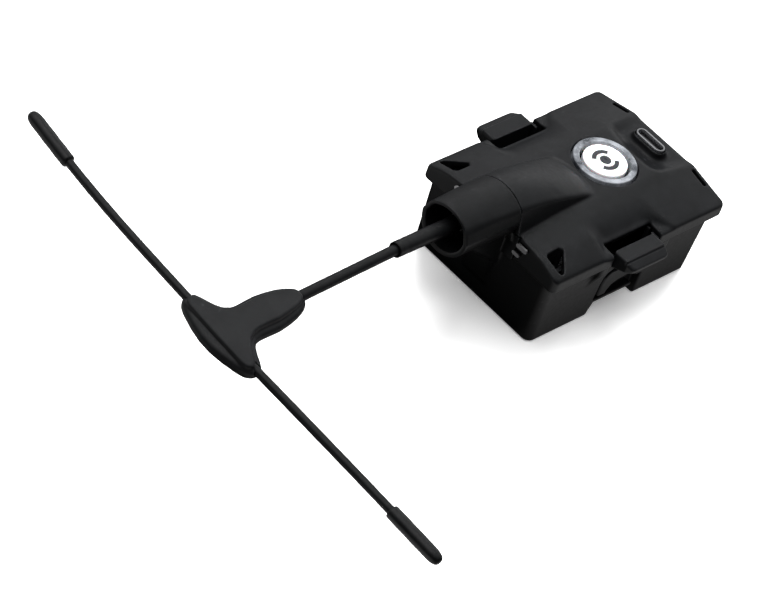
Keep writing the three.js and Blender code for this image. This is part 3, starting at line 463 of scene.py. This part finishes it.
def cover():
    g = Grid((-31.25, -23.2, 14.3), (31.25, 23.2, 36.2), 0.25)
    nx = len(g.x)
    c, f, e = [lookup(CROWN, g.x, i, 2.5) for i in (1, 2, 3)]
    yn = np.array([0, 8.9, 17, 21.6, 23.2, 27])
    H = np.empty((nx, len(g.y)), F32)
    for i in range(nx):
        H[i] = EDGE_Z + np.interp(np.abs(g.y), yn, [c[i], c[i], f[i], e[i], 0, -e[i] * 2.4])
    H = blur(H, 0.9, 1, g.h).astype(F32)
    gx, gy = np.gradient(H, g.h)
    roof = (g.Z - H[:, :, None]) / np.sqrt(1 + gx ** 2 + gy ** 2)[:, :, None]
    plan = rrect(g.x[:, None], g.y[None, :], LID_LEN / 2, LID_WID / 2, LID_R)[:, :, None].astype(F32)
    F = smax(smax(roof, plan, 0.9), SKIRT_Z - g.Z, 0.35)
    hump = smax(hump_fields(g), LX - g.X, 0.15)
    hump = np.maximum(hump, g.X - (LX + 32))
    hump = np.maximum(hump, EDGE_Z + 1.2 - g.Z)
    F = smin(F, hump, 0.55)
    # finger scoops beside the latches
    ay, x, z = g.AY, g.X - LX, g.Z - EDGE_Z
    t = (z - 0.1) / 4.3
    lip = lambda p, q: p + (q - p) * t
    xl = lip(21.4 + (ay - 18.2) * (-2.8 / 5.4), 18.4 + (ay - 12.6) * (-5.9 / 14.4))
    xr = lip(38.2 + (ay - 18.2) * (5.2 / 5.4), 40.4 + (ay - 12.6) * (6.0 / 14.4))
    yi = 18.2 - 5.6 * t
    sc = smax(smax((xl - x) * F32(0.66), (x - xr) * F32(0.72), 1.5), (yi - ay) * F32(0.61), 1.6)
    sc = smax(sc, (0.1 - z), 0.8)
    F = cut(F, sc.astype(F32), 1.1)
    # data-port pocket
    pk = poly(g.x[:, None], g.y[None, :], [(21.5, -5.3), (36, -8.4), (36, 8.4), (22.3, 5.9), (21.3, 1.8)], 1.8)[:, :, None]
    pk = pk - (g.Z - (EDGE_Z + 2.5)) * F32(1.15)
    pk = smax(pk * F32(0.66), EDGE_Z + 2.5 - g.Z, 1.2)
    F = cut(F, pk, 1.1)
    # soft collar standing round the port
    col = rrect(g.x[:, None] - USB_X, g.y[None, :], USB_T / 2 + 0.5, USB_W / 2 + 0.5, 2.0)[:, :, None].astype(F32)
    col = smax((col - (EDGE_Z + 4.5 - g.Z) * F32(0.22)) * F32(0.97), hat(g.Z, EDGE_Z + 1.0, EDGE_Z + 4.5), 0.5)
    F = smin(F, col, 1.0)
    # inside of the cover
    inner = np.maximum(np.maximum(np.abs(g.X) - 28.95, g.AY - 19.9), roof + 1.7)
    inner = np.maximum(inner, np.minimum(0.9 - sc, g.Z - (EDGE_Z - 0.85)))
    inner = np.maximum(inner, np.minimum(0.9 - pk, g.Z - (EDGE_Z - 0.85)))
    tunnel = np.maximum(np.maximum(hump_fields(g, 1.5, 0.3), EDGE_Z - g.Z), hat(g.X, LX - 3, LX + 25))
    F = cut(cut(F, inner, 0.3), tunnel, 0.2)
    # bosses for the four screws
    for bx, by in SCREWS:
        r = np.sqrt((g.x[:, None] - bx) ** 2 + (g.y[None, :] - by) ** 2)[:, :, None].astype(F32)
        F = smin(F, smax(r - 2.5, hat(g.Z, 14.3, EDGE_Z + 1.4), 0.2), 0.3)
        F = cut(F, np.maximum(r - 1.3, hat(g.Z, 13, 21.4)), 0.2)
    # notch for the end plate, button opening, port slot
    F = cut(F, slab3(g, LX - 3, -28.0, -9.3, 9.3, SKIRT_Z - 3, EDGE_Z + 3.2), 0.25)
    r = np.sqrt((g.x[:, None] - BTN_X) ** 2 + g.y[None, :] ** 2)[:, :, None].astype(F32)
    F = cut(F, np.maximum(r - 8.72, EDGE_Z - g.Z), 0.35)
    slot = rrect(g.x[:, None] - USB_X, g.y[None, :], USB_T / 2 + 0.2, USB_W / 2 + 0.2, 1.75)[:, :, None].astype(F32)
    F = cut(F, slot, 0.3)
    # latch openings
    F = cut(F, slab3(g, LX + 21.4, LX + 38.4, 18.6, 30, SKIRT_Z - 3, EDGE_Z + 6, 0.5, sym=True), 0.45)
    # wells and slots
    tri = [(2.6, 16.9), (3.1, 16.4), (6.9, 16.2), (7.4, 16.8), (4.0, 21.2), (3.3, 21.4), (2.95, 20.8)]
    w = poly(g.x[:, None] - LX, np.abs(g.y)[None, :], tri, 0.35)[:, :, None]
    F = cut(F, np.maximum(w, EDGE_Z - 3 - g.Z), 0.4)
    w = rrect(g.x[:, None] - (LX + 60.75), np.abs(g.y)[None, :] - 14.1, 0.55, 2.5, 0.25)[:, :, None].astype(F32)
    F = cut(F, np.maximum(w, EDGE_Z - 1.2 - g.Z), 0.3)
    v, q = nets(F.astype(F32), g)
    add(mesh_object("cover_shell", v, q, M["cover"]), "module", "top_cover")


# ------------------------------------------------------------------ base shell with nose
def nose_fields(g, inset=0.0, k=0.6):
    xs = g.x - LX
    cr, ap = lookup(HUMP, xs, 1, 0.9) - inset * 0.55, lookup(HUMP, xs, 2, 0.9) - inset
    yc = lookup(HUMP, xs, 3, 0.9) - inset
    yb, zc = 7.7 - inset * 1.33, AXIS_Z + 0.3
    cr, ap, yc = [v[:, None].astype(F32) for v in (cr, ap, yc)]
    y = g.y[None, :]
    top = EDGE_Z + cr + (ap - cr) * (1 - (y / yc) ** 2)
    gx, gy = np.gradient(top, g.h)
    top_f = (g.Z - top[:, :, None]) / np.sqrt(1 + gx ** 2 + gy ** 2)[:, :, None]
    s = np.clip((g.z[None, :] - zc) / (EDGE_Z + cr - zc), 0, 2)
    half = (yb + (yc - yb) * s)[:, None, :]
    side = np.where(g.Z > zc, (g.AY - half) * F32(0.94), np.sqrt(g.Y ** 2 + (g.Z - zc) ** 2) - yb)
    return smax(top_f, side.astype(F32), k)


def base():
    g = Grid((-50.1, -23.0, 0), (30.4, 23.0, 36.6), 0.26)
    hx = (29.25 + (30.4 - 29.25) * (g.z - 0.6) / (BASE_H - 0.6))[None, None, :]
    hy = (20.9 + (21.25 - 20.9) * (g.z - 0.6) / (BASE_H - 0.6))[None, None, :]
    p, q = np.abs(g.X) - (hx - 2.2), g.AY - (hy - 2.2)
    wall = (np.sqrt(np.maximum(p, 0) ** 2 + np.maximum(q, 0) ** 2) + np.minimum(np.maximum(p, q), 0) - 2.2).astype(F32)
    F = smax(wall, hat(g.Z, 0, BASE_H), 0.9)
    F = np.where(g.Z > 9, smax(wall, g.Z - BASE_H, 0.3), F)
    lip = rrect(g.x[:, None], g.y[None, :], 28.6, 19.5, 1.4)[:, :, None].astype(F32)
    F = np.minimum(F, np.maximum(lip, hat(g.Z, BASE_H - 1, EDGE_Z - 1.0)))
    # web below the nose, end plate, nose
    wx = np.interp(g.z, [6, 16, EDGE_Z + 1.2, EDGE_Z + 4], [-30.0, -33.4, -44.5, -47.6])[None, None, :]
    wy = np.interp(g.z, [6, 16, EDGE_Z + 1.2], [4.2, 5.4, 5.2])[None, None, :]
    web = smax(smax((wx - g.X) * F32(0.62), g.AY - wy, 1.6), g.X + 29.4, 0.3)
    web = smax(web, hat(g.Z, 6, EDGE_Z + 1.6), 0.8)
    plate_low = np.maximum(np.maximum(hat(g.X, LX, -28.3), g.AY - 9.0), hat(g.Z, BASE_H - 0.5, EDGE_Z + 2.9))
    plate_up = np.maximum(np.maximum(hump_fields(g, 1.85, 0.3), hat(g.X, -31.6, -28.3)), EDGE_Z + 0.5 - g.Z)
    plate_up = np.maximum(plate_up, g.AY - 8.8)
    nose = smax(nose_fields(g), hat(g.X, NOSE_END, -31.33), 0.45)
    F = smin(F, web.astype(F32), 1.2)
    F = np.minimum(F, np.minimum(plate_low, plate_up))
    F = smin(F, nose, 0.5)
    # inside, bore and connector hole
    cav = np.maximum(rrect(g.x[:, None], g.y[None, :], 27.4, 18.3, 1.0)[:, :, None].astype(F32), hat(g.Z, 2.0, EDGE_Z + 3))
    F = cut(F, cav, 0.4)
    bore = np.maximum(nose_fields(g, 0.95, 0.5), hat(g.X, NOSE_END - 3, -33.3))
    F = cut(F, bore, 0.35)
    F = cut(F, np.maximum(np.sqrt(g.Y ** 2 + (g.Z - AXIS_Z) ** 2) - 3.45, hat(g.X, -36, -26)), 0.2)
    # latch windows and foot notches
    xz = lambda pts, r=0.0: poly(g.x[:, None] - LX, g.z[None, :], pts, r)[:, None, :]
    yo = hat(g.AY, 17.2, 40)
    win = xz([(23.5, 4.9), (23.6, 10.4), (24.0, 12.7), (25.0, 14.0), (26.8, 14.8), (27.3, 15.4), (27.3, 26), (37.9, 26), (37.9, 4.9)])
    win = np.minimum(win, xz([(21.9, 17.8), (28, 17.8), (28, 26), (21.9, 26)]))
    win = np.minimum(win, xz([(37.8, 1.9), (40.3, 1.9), (40.3, 7.5), (37.8, 7.5)]))
    win = np.minimum(win, xz([(21.9, -3), (40.3, -3), (40.3, 4.1), (24.2, 4.1)]))
    F = cut(F, np.maximum(win, yo), 0.3)
    F = np.minimum(F, slab3(g, LX + 21, LX + 41.5, 17.0, 18.6, 0.4, 6.2, sym=True))
    F = smin(F, slab3(g, LX + 37.2, LX + 38.9, 20.6, 23.0, 12.6, BASE_H, 0.2, sym=True), 0.3)
    F = np.minimum(F, slab3(g, LX + 37.2, LX + 38.0, 20.6, 23.0, 12.6, EDGE_Z - 0.9, 0.2, sym=True))
    # flared guards beside the latch tab
    for a, b, c, e in ((38.6, 38.6, 46, 44), (17.0, 19.0, 21.8, 21.8)):
        t = np.clip((g.Z - 12.6) / 4.0, 0, 1)
        x0, x1, y1 = a + (b - a) * t, c + (e - c) * t, 21.2 + 1.5 * t
        gd = smax(smax(hat(g.X - LX, x0, x1), g.AY - y1, 0.8), hat(g.Z, 12.6, BASE_H), 0.5)
        F = smin(F, np.maximum(gd, 20.6 - g.AY).astype(F32), 0.5)
    # posts, screw wells, board ledges, socket opening
    for bx, by in SCREWS:
        r = np.sqrt((g.x[:, None] - bx) ** 2 + (g.y[None, :] - by) ** 2)[:, :, None].astype(F32)
        F = smin(F, np.maximum(r - 3.0, hat(g.Z, 1, 14.0)), 0.4)
        F = cut(F, np.minimum(np.maximum(r - 1.35, g.Z - 17), np.maximum(r - 2.35, g.Z - 2.6)), 0.3)
    for bx, by in ((-12, 0), (12, -13.5), (12, 13.5)):
        r = np.sqrt((g.x[:, None] - bx) ** 2 + (g.y[None, :] - by) ** 2)[:, :, None].astype(F32)
        F = smin(F, np.maximum(r - 1.8, hat(g.Z, 1, 4.2)), 0.3)
    F = cut(F, slab3(g, 15.6, 19.6, -7.6, 7.6, -3, 3), 0.4)
    v, q = nets(F.astype(F32), g)
    add(mesh_object("base_case", v, q, M["base"]), "module", "base_shell")


# ------------------------------------------------------------------ latches
def latch(name, s):
    g = Grid((LATCH_X - LATCH_HX, 19.4, 6.1), (LATCH_X + LATCH_HX, 28.5, 23.1), 0.15)
    yz = lambda pts, r=0.0: poly(g.y[:, None], g.z[None, :] - EDGE_Z, pts, r)[None, :, :]
    prof = [(21.7, 0), (21.7, -6.0), (19.5, -9.2), (19.5, -16.9), (21.15, -16.9), (21.2, -9.8), (23.2, -6.6), (23.3, -4.6),
            (26.9, -3.3), (28.1, -2.6), (28.4, -1.9), (28.3, -1.35), (26.35, -0.5), (26.15, -0.62), (25.95, -0.08), (25.8, 0)]
    F = yz(prof)
    pl = [(LATCH_X - 6.9, 19), (LATCH_X + 6.9, 19), (LATCH_X + 7.2, 22), (LATCH_X + 7.2, 26.4), (LATCH_X + 6.5, 28.1),
          (LATCH_X + 5.4, 28.8), (LATCH_X - 5.4, 28.8), (LATCH_X - 6.5, 28.1), (LATCH_X - 7.2, 26.4), (LATCH_X - 7.2, 22)]
    F = smax(F, poly(g.x[:, None], g.y[None, :], pl)[:, :, None], 0.9)
    xz = lambda pts: poly(g.x[:, None] - LX, g.z[None, :], pts)[:, None, :]
    sh = xz([(20, -1), (24.2, -1), (24.3, 10.0), (24.8, 12.2), (25.6, 13.3), (27.0, 13.9), (28.0, 14.6), (28.0, 18.2), (20, 18.2)])
    un = xz([(27.2, 4), (27.2, 5), (27.6, 7.0), (28.6, 8.4), (30.4, 9.2), (33, 9.5), (40, 9.3), (40, 4)])
    F = cut(cut(F, sh, 0.7), un, 0.6)
    v, q = nets(F.astype(F32), g)
    if s < 0:
        v = v * np.array([1, -1, 1])
        q = q[:, ::-1]
    add(mesh_object(name + "_moulding", v, q, M["latch"]), name, name)


# ------------------------------------------------------------------ button, ring, port
def button():
    z = EDGE_Z
    ring = round_profile([(RING_RI, z + 1.0), (RING_RO, z + 1.0), (RING_RO, z + 3.2), (RING_RO - 0.28, z + 4.88),
                          (RING_RI + 0.3, z + 4.86), (RING_RI, z + 3.6)], [0.1, 0.1, 0.2, 0.3, 0.3, 0.2])
    v, f = lathe(ring, BTN_X, 0)
    add(mesh_object("light_guide_ring", v, f, M["ring"]), "module", "light_ring")
    top = [(r, z + 5.0 - 0.10 * (r / 5.4) ** 2) for r in np.linspace(0.02, 5.25, 12)]
    prof = [(0.02, z + 0.3), (2.0, z + 0.3), (2.0, z + 2.6), (CAP_R - 0.9, z + 2.6), (CAP_R - 0.9, z + 1.4), (CAP_R, z + 1.4)]
    prof = prof + [(CAP_R, z + 4.45), (CAP_R - 0.05, z + 4.62), (CAP_R - 0.16, z + 4.76), (CAP_R - 0.32, z + 4.86)] + top[::-1]
    g = Grid((BTN_X - CAP_R, -CAP_R, z + 0.3), (BTN_X + CAP_R, CAP_R, z + 5.0), 0.11)
    r = np.sqrt((g.x[:, None] - BTN_X) ** 2 + g.y[None, :] ** 2)[:, :, None].astype(F32)
    F = smax(np.maximum(r - CAP_R, EDGE_Z + 1.4 - g.Z), g.Z - (z + 5.0 - 0.10 * (r / 5.4) ** 2), 0.55)
    F = cut(F, np.maximum(r - (CAP_R - 0.9), g.Z - (z + 2.6)), 0.2)
    F = np.minimum(F, np.maximum(r - 2.0, hat(g.Z, z + 0.3, z + 3)))
    ang = np.degrees(np.arctan2(g.y[None, :], g.x[:, None] - BTN_X))[:, :, None]
    dev = np.abs(np.abs(ang) - 90)
    rad = r * np.radians(np.maximum(dev - 57, -60)).astype(F32)
    arcs = np.maximum(np.maximum(2.32 - r, r - 3.58), rad)
    F = cut(F, np.maximum(arcs.astype(F32), z + 4.72 - g.Z), 0.12)
    F = cut(F, np.maximum(r - 1.53, z + 4.72 - g.Z), 0.12)
    v, q = nets(F.astype(F32), g)
    add(mesh_object("push_button", v, q, M["white"]), "button", "button_cap")
    v, f = lathe(round_profile([(0.01, z + 4.7), (1.45, z + 4.7), (1.45, z + 4.99), (0.01, z + 5.0)], [0, 0.04, 0.08, 0]), BTN_X, 0, 64)
    add(mesh_object("mark_centre", v, f, M["mark"]), "button", "button_mark_dot")
    for nm, a0, a1 in (("far", 35, 145), ("near", 215, 325)):
        rings = []
        for t in np.linspace(a0, a1, 33):
            a = math.radians(t)
            pr = round_profile([(2.4, z + 4.7), (3.5, z + 4.7), (3.5, z + 4.96), (2.4, z + 4.98)], [0.03, 0.03, 0.07, 0.07], 3)
            rings.append([(BTN_X + u * math.cos(a), u * math.sin(a), w) for u, w in pr])
        v, f = loft(rings)
        add(mesh_object("mark_arc_" + nm, v, f, M["mark"]), "button", "button_mark_arc_" + nm)


def rr_ring(hx, hy, r, z, cx, cy, n=10):
    pts = []
    for sx, sy, t0 in ((1, 1, 0), (-1, 1, 1), (-1, -1, 2), (1, -1, 3)):
        for i in range(n + 1):
            t = (t0 + i / n) * math.pi / 2
            pts.append((cx + sx * (hx - r) + r * math.cos(t), cy + sy * (hy - r) + r * math.sin(t), z))
    return pts


def port():
    prof = [(0.32, USB_Z - 6.9), (0, USB_Z - 7.6), (0, USB_Z - 0.10), (0.04, USB_Z - 0.03), (0.10, USB_Z), (0.36, USB_Z),
            (0.43, USB_Z - 0.05), (0.45, USB_Z - 0.16), (0.45, USB_Z - 6.9)]
    rings = [rr_ring(USB_T / 2 - o, USB_W / 2 - o, 1.58 - o, z, USB_X, 0) for o, z in prof[1:]]
    v, f = loft(rings, caps=False)
    n = len(rings[0])
    m = len(rings)
    f = list(f)
    f.append(tuple(range(n))[::-1])
    f.append(tuple(range((m - 1) * n, m * n)))
    ob = add(mesh_object("data_port_can", v, f, M["port"]), "module", "data_port_shell")
    rings = [rr_ring(0.36 - o, 3.3 - o, 0.2 - o * 0.5, z, USB_X, 0, 5) for o, z in
             ((0.0, USB_Z - 6.7), (0.0, USB_Z - 1.25), (0.05, USB_Z - 1.0), (0.14, USB_Z - 0.9))]
    v, f = loft(rings)
    add(mesh_object("data_port_blade", v, f, M["blackplate"]), "module", "data_port_tongue")
    return ob


# ------------------------------------------------------------------ antenna
SAG = (Matrix.Translation((SLEEVE_END, 0, AXIS_Z)) @ Matrix.Rotation(-DROOP, 4, "Y") @ Matrix.Translation((-SLEEVE_END, 0, -AXIS_Z)))
TURN = (Matrix.Translation((0, 0, AXIS_Z)) @ Matrix.Rotation(ROLL, 4, "X") @ Matrix.Translation((0, 0, -AXIS_Z)))
SWEEP = {
    "far": [(0, -1.95), (30, -2.0), (38, -1.92), (46, -1.66), (54.7, -1.18), (63.3, -0.48), (73.6, 0.55)],
    "near": [(0, -1.9), (11, -1.5), (20, -1.14), (28, -0.87), (37, -0.57), (46, -0.29), (54.3, -0.07), (63, 0.12), (73.6, 0.36)],
}


def arm_line(side, y):
    t = np.arange(-12, 90, 0.25)
    v = blur(np.interp(t, *zip(*SWEEP[side])), 4.0, 0, 0.25)
    return np.interp(y, t, v)


def antenna():
    T, B = TURN, TURN @ SAG
    # sleeve of heat-shrink over the cable and the end of the plug
    xs = np.linspace(-45.8, SLEEVE_END, 60)
    rad = 2.02 - 0.03 * np.clip((-xs - 50) / 14, 0, 1) + 0.012 * np.sin(xs * 1.7) + 0.01 * np.sin(xs * 3.1 + 1)
    prof = [(x, r) for x, r in zip(xs, rad)]
    prof = [(-45.8, 1.74), (-45.8, 1.92)] + prof[1:-1] + [(SLEEVE_END, 1.98), (SLEEVE_END - 0.0, 1.86), (SLEEVE_END + 0.1, 1.72), (SLEEVE_END + 0.6, 1.7)]
    w = np.linspace(0, 2 * math.pi, 40, endpoint=False)
    inner = [(x, 1.7) for x in np.linspace(SLEEVE_END + 1.0, -45.9 + 0.1, 6)]
    prof = prof + inner
    rings = [[(x, r * math.cos(a), AXIS_Z + r * math.sin(a)) for a in w] for x, r in prof]
    rings.append(rings[0])
    v, f = loft(rings, caps=False)
    f = [q[::-1] for q in f]
    add(mesh_object("heat_shrink_sleeve", moved(v, T), f, M["sleeve"]), "antenna", "antenna_sleeve")
    # stem
    xs = np.linspace(-49.4, TEE_X + 16.5, 90)
    zs = AXIS_Z - np.where(xs < SLEEVE_END, np.tan(DROOP) * (SLEEVE_END - xs), 0)
    zs = blur(zs, 2.0, 0, abs(xs[1] - xs[0]))
    r = STEM_R * (1 + 0.006 * np.sin(xs * 0.9) + 0.005 * np.sin(xs * 2.3 + 2))
    v, f = tube([(x, 0, z) for x, z in zip(xs, zs)], r, 32)
    add(mesh_object("coax_stem", moved(v, T), f, M["jacket"]), "antenna", "antenna_stem")
    # tee
    tz = AXIS_Z
    top = [(22.0, 0.9), (21.4, 1.8), (20.0, 2.6), (17.5, 3.3), (15, 3.75), (12, 4.1), (9, 4.0), (6, 3.95), (4, 4.4), (2.2, 5.4), (0.8, 7.4),
           (-0.4, 9.6), (-1.2, 11.0), (-2.3, 11.9), (-3.4, 11.7), (-4.2, 10.9), (-4.6, 9.4), (-4.8, 5), (-4.9, 1.5)]
    mid = [(22.7, 1.0), (22.0, 2.4), (20.5, 3.5), (18.0, 4.4), (15, 5.0), (12, 5.35), (9, 5.25), (6, 5.15), (4.2, 5.5), (2.9, 6.6), (1.8, 8.6),
           (1.0, 10.4), (0, 12.2), (-1.7, 13.0), (-3.2, 12.6), (-4.4, 11.5), (-5.3, 9.6), (-6.4, 5.5), (-7.0, 1.8)]
    full = lambda h: [(TEE_X + x, y) for x, y in h] + [(TEE_X + x, -y) for x, y in h[::-1]]
    g = Grid((TEE_X - 7.2, -13.2, tz - 2.6), (TEE_X + 22.9, 13.2, tz + 2.6), 0.18)
    dt = poly(g.x[:, None], g.y[None, :], full(top))
    dm = poly(g.x[:, None], g.y[None, :], full(mid))
    dt, dm = blur(blur(dt, 0.35, 0, g.h), 0.35, 1, g.h), blur(blur(dm, 0.35, 0, g.h), 0.35, 1, g.h)
    dt, dm = dt[:, :, None].astype(F32), dm[:, :, None].astype(F32)
    z = g.Z - tz
    crown = 2.5 - 0.0022 * ((g.X - TEE_X - 6) ** 2 + 1.3 * g.Y ** 2)
    plate = smax(dt + 0.05 + 0.10 * np.maximum(z, 0), hat(z, -2.0, 99), 0.9)
    plate = smax(plate, z - crown, 0.75)
    bulge = smax(dm + 0.16 * (z + 0.35) ** 2 * (z > -0.35) + 0.10 * (z + 0.35) ** 2 * (z <= -0.35), hat(z, -2.25, 1.15), 1.5)
    F = smin(plate, bulge, 0.35)
    for side, s in (("far", 1), ("near", -1)):
        yy = g.y * s
        cx = TEE_X + arm_line(side, np.clip(yy, 0, 20))
        d = np.sqrt((g.X - cx[None, :, None]) ** 2 + z ** 2) - (ARM_R + 0.10)
        F = cut(F, np.maximum(d, 2.2 - (g.Y * s)).astype(F32), 0.2)
    d = np.sqrt(g.Y ** 2 + z ** 2) - (STEM_R + 0.12)
    F = cut(F, np.maximum(d, TEE_X + 16.2 - g.X).astype(F32), 0.2)
    F = cut(F, slab3(g, TEE_X - 3.6, TEE_X + 16.3, -1.9, 1.9, tz - 0.95, tz + 0.95), 0.2)
    v, q = nets(F.astype(F32), g)
    add(mesh_object("tee_moulding", moved(v, B), q, M["tee"]), "antenna", "tee_housing")
    # dipole arms and end caps
    for side, s in (("far", 1), ("near", -1)):
        ys = np.linspace(2.4, ARM_LEN - 1.6, 120)
        r = ARM_R * (1 + 0.008 * np.sin(ys * 0.8) + 0.007 * np.sin(ys * 2.1 + 1.2) + 0.004 * np.sin(ys * 5.3))
        v, f = tube([(TEE_X + x, s * y, tz) for x, y in zip(arm_line(side, ys), ys)], r, 28)
        add(mesh_object("dipole_rod_" + side, moved(v, B), f, M["jacket"]), "antenna", "dipole_arm_" + side)
        a, b = ARM_LEN - TIP_LEN, ARM_LEN
        ys, rs = [a + 0.9, a + 0.25, a, a, a + 0.12], [1.24, 1.24, 1.3, 1.5, 1.66]
        for y in np.linspace(a + 0.5, b - 2.2, 40):
            ys.append(y)
            rs.append(1.74 - 0.02 * math.sin((y - a) * 1.3) - 0.16 * max(0, (y - (b - 5)) / 5) ** 1.6)
        for t in np.linspace(0.15, 1, 9):
            ys.append(b - 2.2 + 2.2 * math.sin(t * math.pi / 2) * 0.97)
            rs.append(max(0.05, 1.62 * math.cos(t * math.pi / 2) ** 0.62))
        v, f = tube([(TEE_X + x, s * y, tz) for x, y in zip(arm_line(side, np.array(ys)), ys)], rs, 36)
        add(mesh_object("end_cap_" + side, moved(v, B), f, M["tip"]), "antenna", "dipole_tip_" + side)


cover()
base()
latch("latch_near", -1)
latch("latch_far", 1)
button()
port()
antenna()

# ------------------------------------------------------------------ stage
fm, fnt, fb = principled("floor_pale")
ftc = fnt.nodes.new("ShaderNodeTexCoord")
fcol = mixcol(fnt, remap(fnt, noise(fnt, ftc.outputs["Object"], 3.0), 0, 1), (0.90, 0.90, 0.90), (0.92, 0.92, 0.92))
fnt.links.new(fcol, fb.inputs["Base Color"])
fb.inputs["Roughness"].default_value = 0.9
fb.inputs["Specular IOR Level"].default_value = 0.1
fb.inputs["Emission Color"].default_value = (1, 1, 1, 1)
fb.inputs["Emission Strength"].default_value = 0.22
floor = mesh_object("floor", [(-6, -6, 0), (6, -6, 0), (6, 6, 0), (-6, 6, 0)], [(0, 1, 2, 3)], fm, False, 1.0)
floor.location.z = -0.00002
floor.visible_glossy = False
floor.visible_diffuse = False


def area(name, loc, target, sx, sy, power, color=(1, 1, 1), cam=False):
    d = bpy.data.lights.new(name, "AREA")
    d.shape = "RECTANGLE"
    d.size, d.size_y = sx, sy
    d.energy = power
    d.color = color
    o = bpy.data.objects.new(name, d)
    o.location = loc
    o.rotation_mode = "QUATERNION"
    o.rotation_quaternion = (Vector(target) - Vector(loc)).to_track_quat("-Z", "Y")
    o.visible_camera = cam
    bpy.context.scene.collection.objects.link(o)
    return o


# soft light from the far right for the floor and the matt colours; the glossy part comes from the sky and the card
def soft(name, loc, target, size, power):
    o = area(name, loc, target, size, size, power)
    o.visible_glossy = False
    return o


soft("key_far_right", (0.85, 0.60, 1.35), (0, 0, 0), 1.1, 60)
soft("top_fill", (-0.10, -0.10, 1.7), (-0.03, 0, 0), 1.6, 30)

w = bpy.data.worlds.new("soft_sky")
w.use_nodes = True
bpy.context.scene.world = w
wn = w.node_tree
bg = wn.nodes["Background"]
wt = wn.nodes.new("ShaderNodeTexCoord")


def sky_ramp(direction, lo, hi, a, b):
    dot = wn.nodes.new("ShaderNodeVectorMath")
    dot.operation = "DOT_PRODUCT"
    wn.links.new(wt.outputs["Generated"], dot.inputs[0])
    dot.inputs[1].default_value = Vector(direction).normalized()
    mr = wn.nodes.new("ShaderNodeMapRange")
    mr.interpolation_type = "SMOOTHSTEP"
    mr.inputs["From Min"].default_value, mr.inputs["From Max"].default_value = lo, hi
    mr.inputs["To Min"].default_value, mr.inputs["To Max"].default_value = a, b
    wn.links.new(dot.outputs["Value"], mr.inputs["Value"])
    return mr.outputs["Result"]


up = sky_ramp((0, 0, 1), -0.05, 0.25, 0.0, 1.0)
side = sky_ramp((0.50, 0.62, 0.60), -0.25, 0.90, 0.03, 0.41)
mul = wn.nodes.new("ShaderNodeMath")
mul.operation = "MULTIPLY"
wn.links.new(up, mul.inputs[0])
wn.links.new(side, mul.inputs[1])
total = mul.outputs[0]
for part in (sky_ramp((0.90, 0.385, 0.13), 0.91, 1.0, 0.0, 0.42), sky_ramp((-0.22, 0.385, 0.908), 0.84, 1.0, 0.0, 0.55)):
    plus = wn.nodes.new("ShaderNodeMath")
    plus.operation = "ADD"
    wn.links.new(total, plus.inputs[0])
    wn.links.new(part, plus.inputs[1])
    total = plus.outputs[0]
wn.links.new(total, bg.inputs["Strength"])
bg.inputs["Color"].default_value = (1, 1, 1, 1)

# card under the floor: what the glossy sides see of the table
n = 61
fade = lambda v, a, b: np.clip(1 - (v - a) / (b - a), 0, 1)
cx, cy = np.meshgrid(np.linspace(-0.45, 0.45, n), np.linspace(-0.45, 0.45, n), indexing="ij")
step = lambda v: np.clip(v, 0, 1) ** 2 * (3 - 2 * np.clip(v, 0, 1))
near = step((-cy - 0.016) / 0.030) * (0.62 + 0.04 * step((cx + 0.03) / 0.07)) * (0.04 + 0.96 * fade(-cy, 0.062, 0.11))
far_left = (0.10 + 0.34 * step((cy - 0.0) / 0.05)) * step((-cx - 0.03) / 0.03)
right = 0.14 * step((cx - 0.03) / 0.05)
glow = np.maximum(np.maximum(near, far_left), right)
verts = np.stack([cx.ravel(), cy.ravel(), np.full(n * n, -0.0006)], 1)
quads = [(i * n + j, (i + 1) * n + j, (i + 1) * n + j + 1, i * n + j + 1) for i in range(n - 1) for j in range(n - 1)]
cm = bpy.data.materials.new("table_glow")
cm.use_nodes = True
cn = cm.node_tree
cn.nodes.clear()
at = cn.nodes.new("ShaderNodeAttribute")
at.attribute_name = "glow"
em = cn.nodes.new("ShaderNodeEmission")
oo = cn.nodes.new("ShaderNodeOutputMaterial")
cn.links.new(at.outputs["Fac"], em.inputs["Strength"])
cn.links.new(em.outputs[0], oo.inputs["Surface"])
card = mesh_object("table_card", verts, quads, cm, False, 1.0)
ga = card.data.attributes.new("glow", "FLOAT", "POINT")
ga.data.foreach_set("value", glow.ravel().astype(np.float32))
card.visible_camera = card.visible_diffuse = card.visible_shadow = False

# ------------------------------------------------------------------ camera
R = ((0.7015089, -0.6592233, 0.2707579), (-0.3221301, -0.6322114, -0.7046566), (0.6357023, 0.4071036, -0.6558576))
cam = bpy.data.objects.new("camera", bpy.data.cameras.new("camera"))
bpy.context.scene.collection.objects.link(cam)
cam.data.sensor_width = 36
cam.data.lens = 36 * 3920.357 / 765
cam.data.clip_start, cam.data.clip_end = 0.01, 50
rot = Matrix((R[0], tuple(-v for v in R[1]), tuple(-v for v in R[2]))).transposed()
cam.matrix_world = Matrix.Translation((-0.6507471, -0.3753087, 0.6191023)) @ rot.to_4x4()
bpy.context.scene.camera = cam
vs = bpy.context.scene.view_settings
vs.view_transform = "Standard"
vs.look = "None"
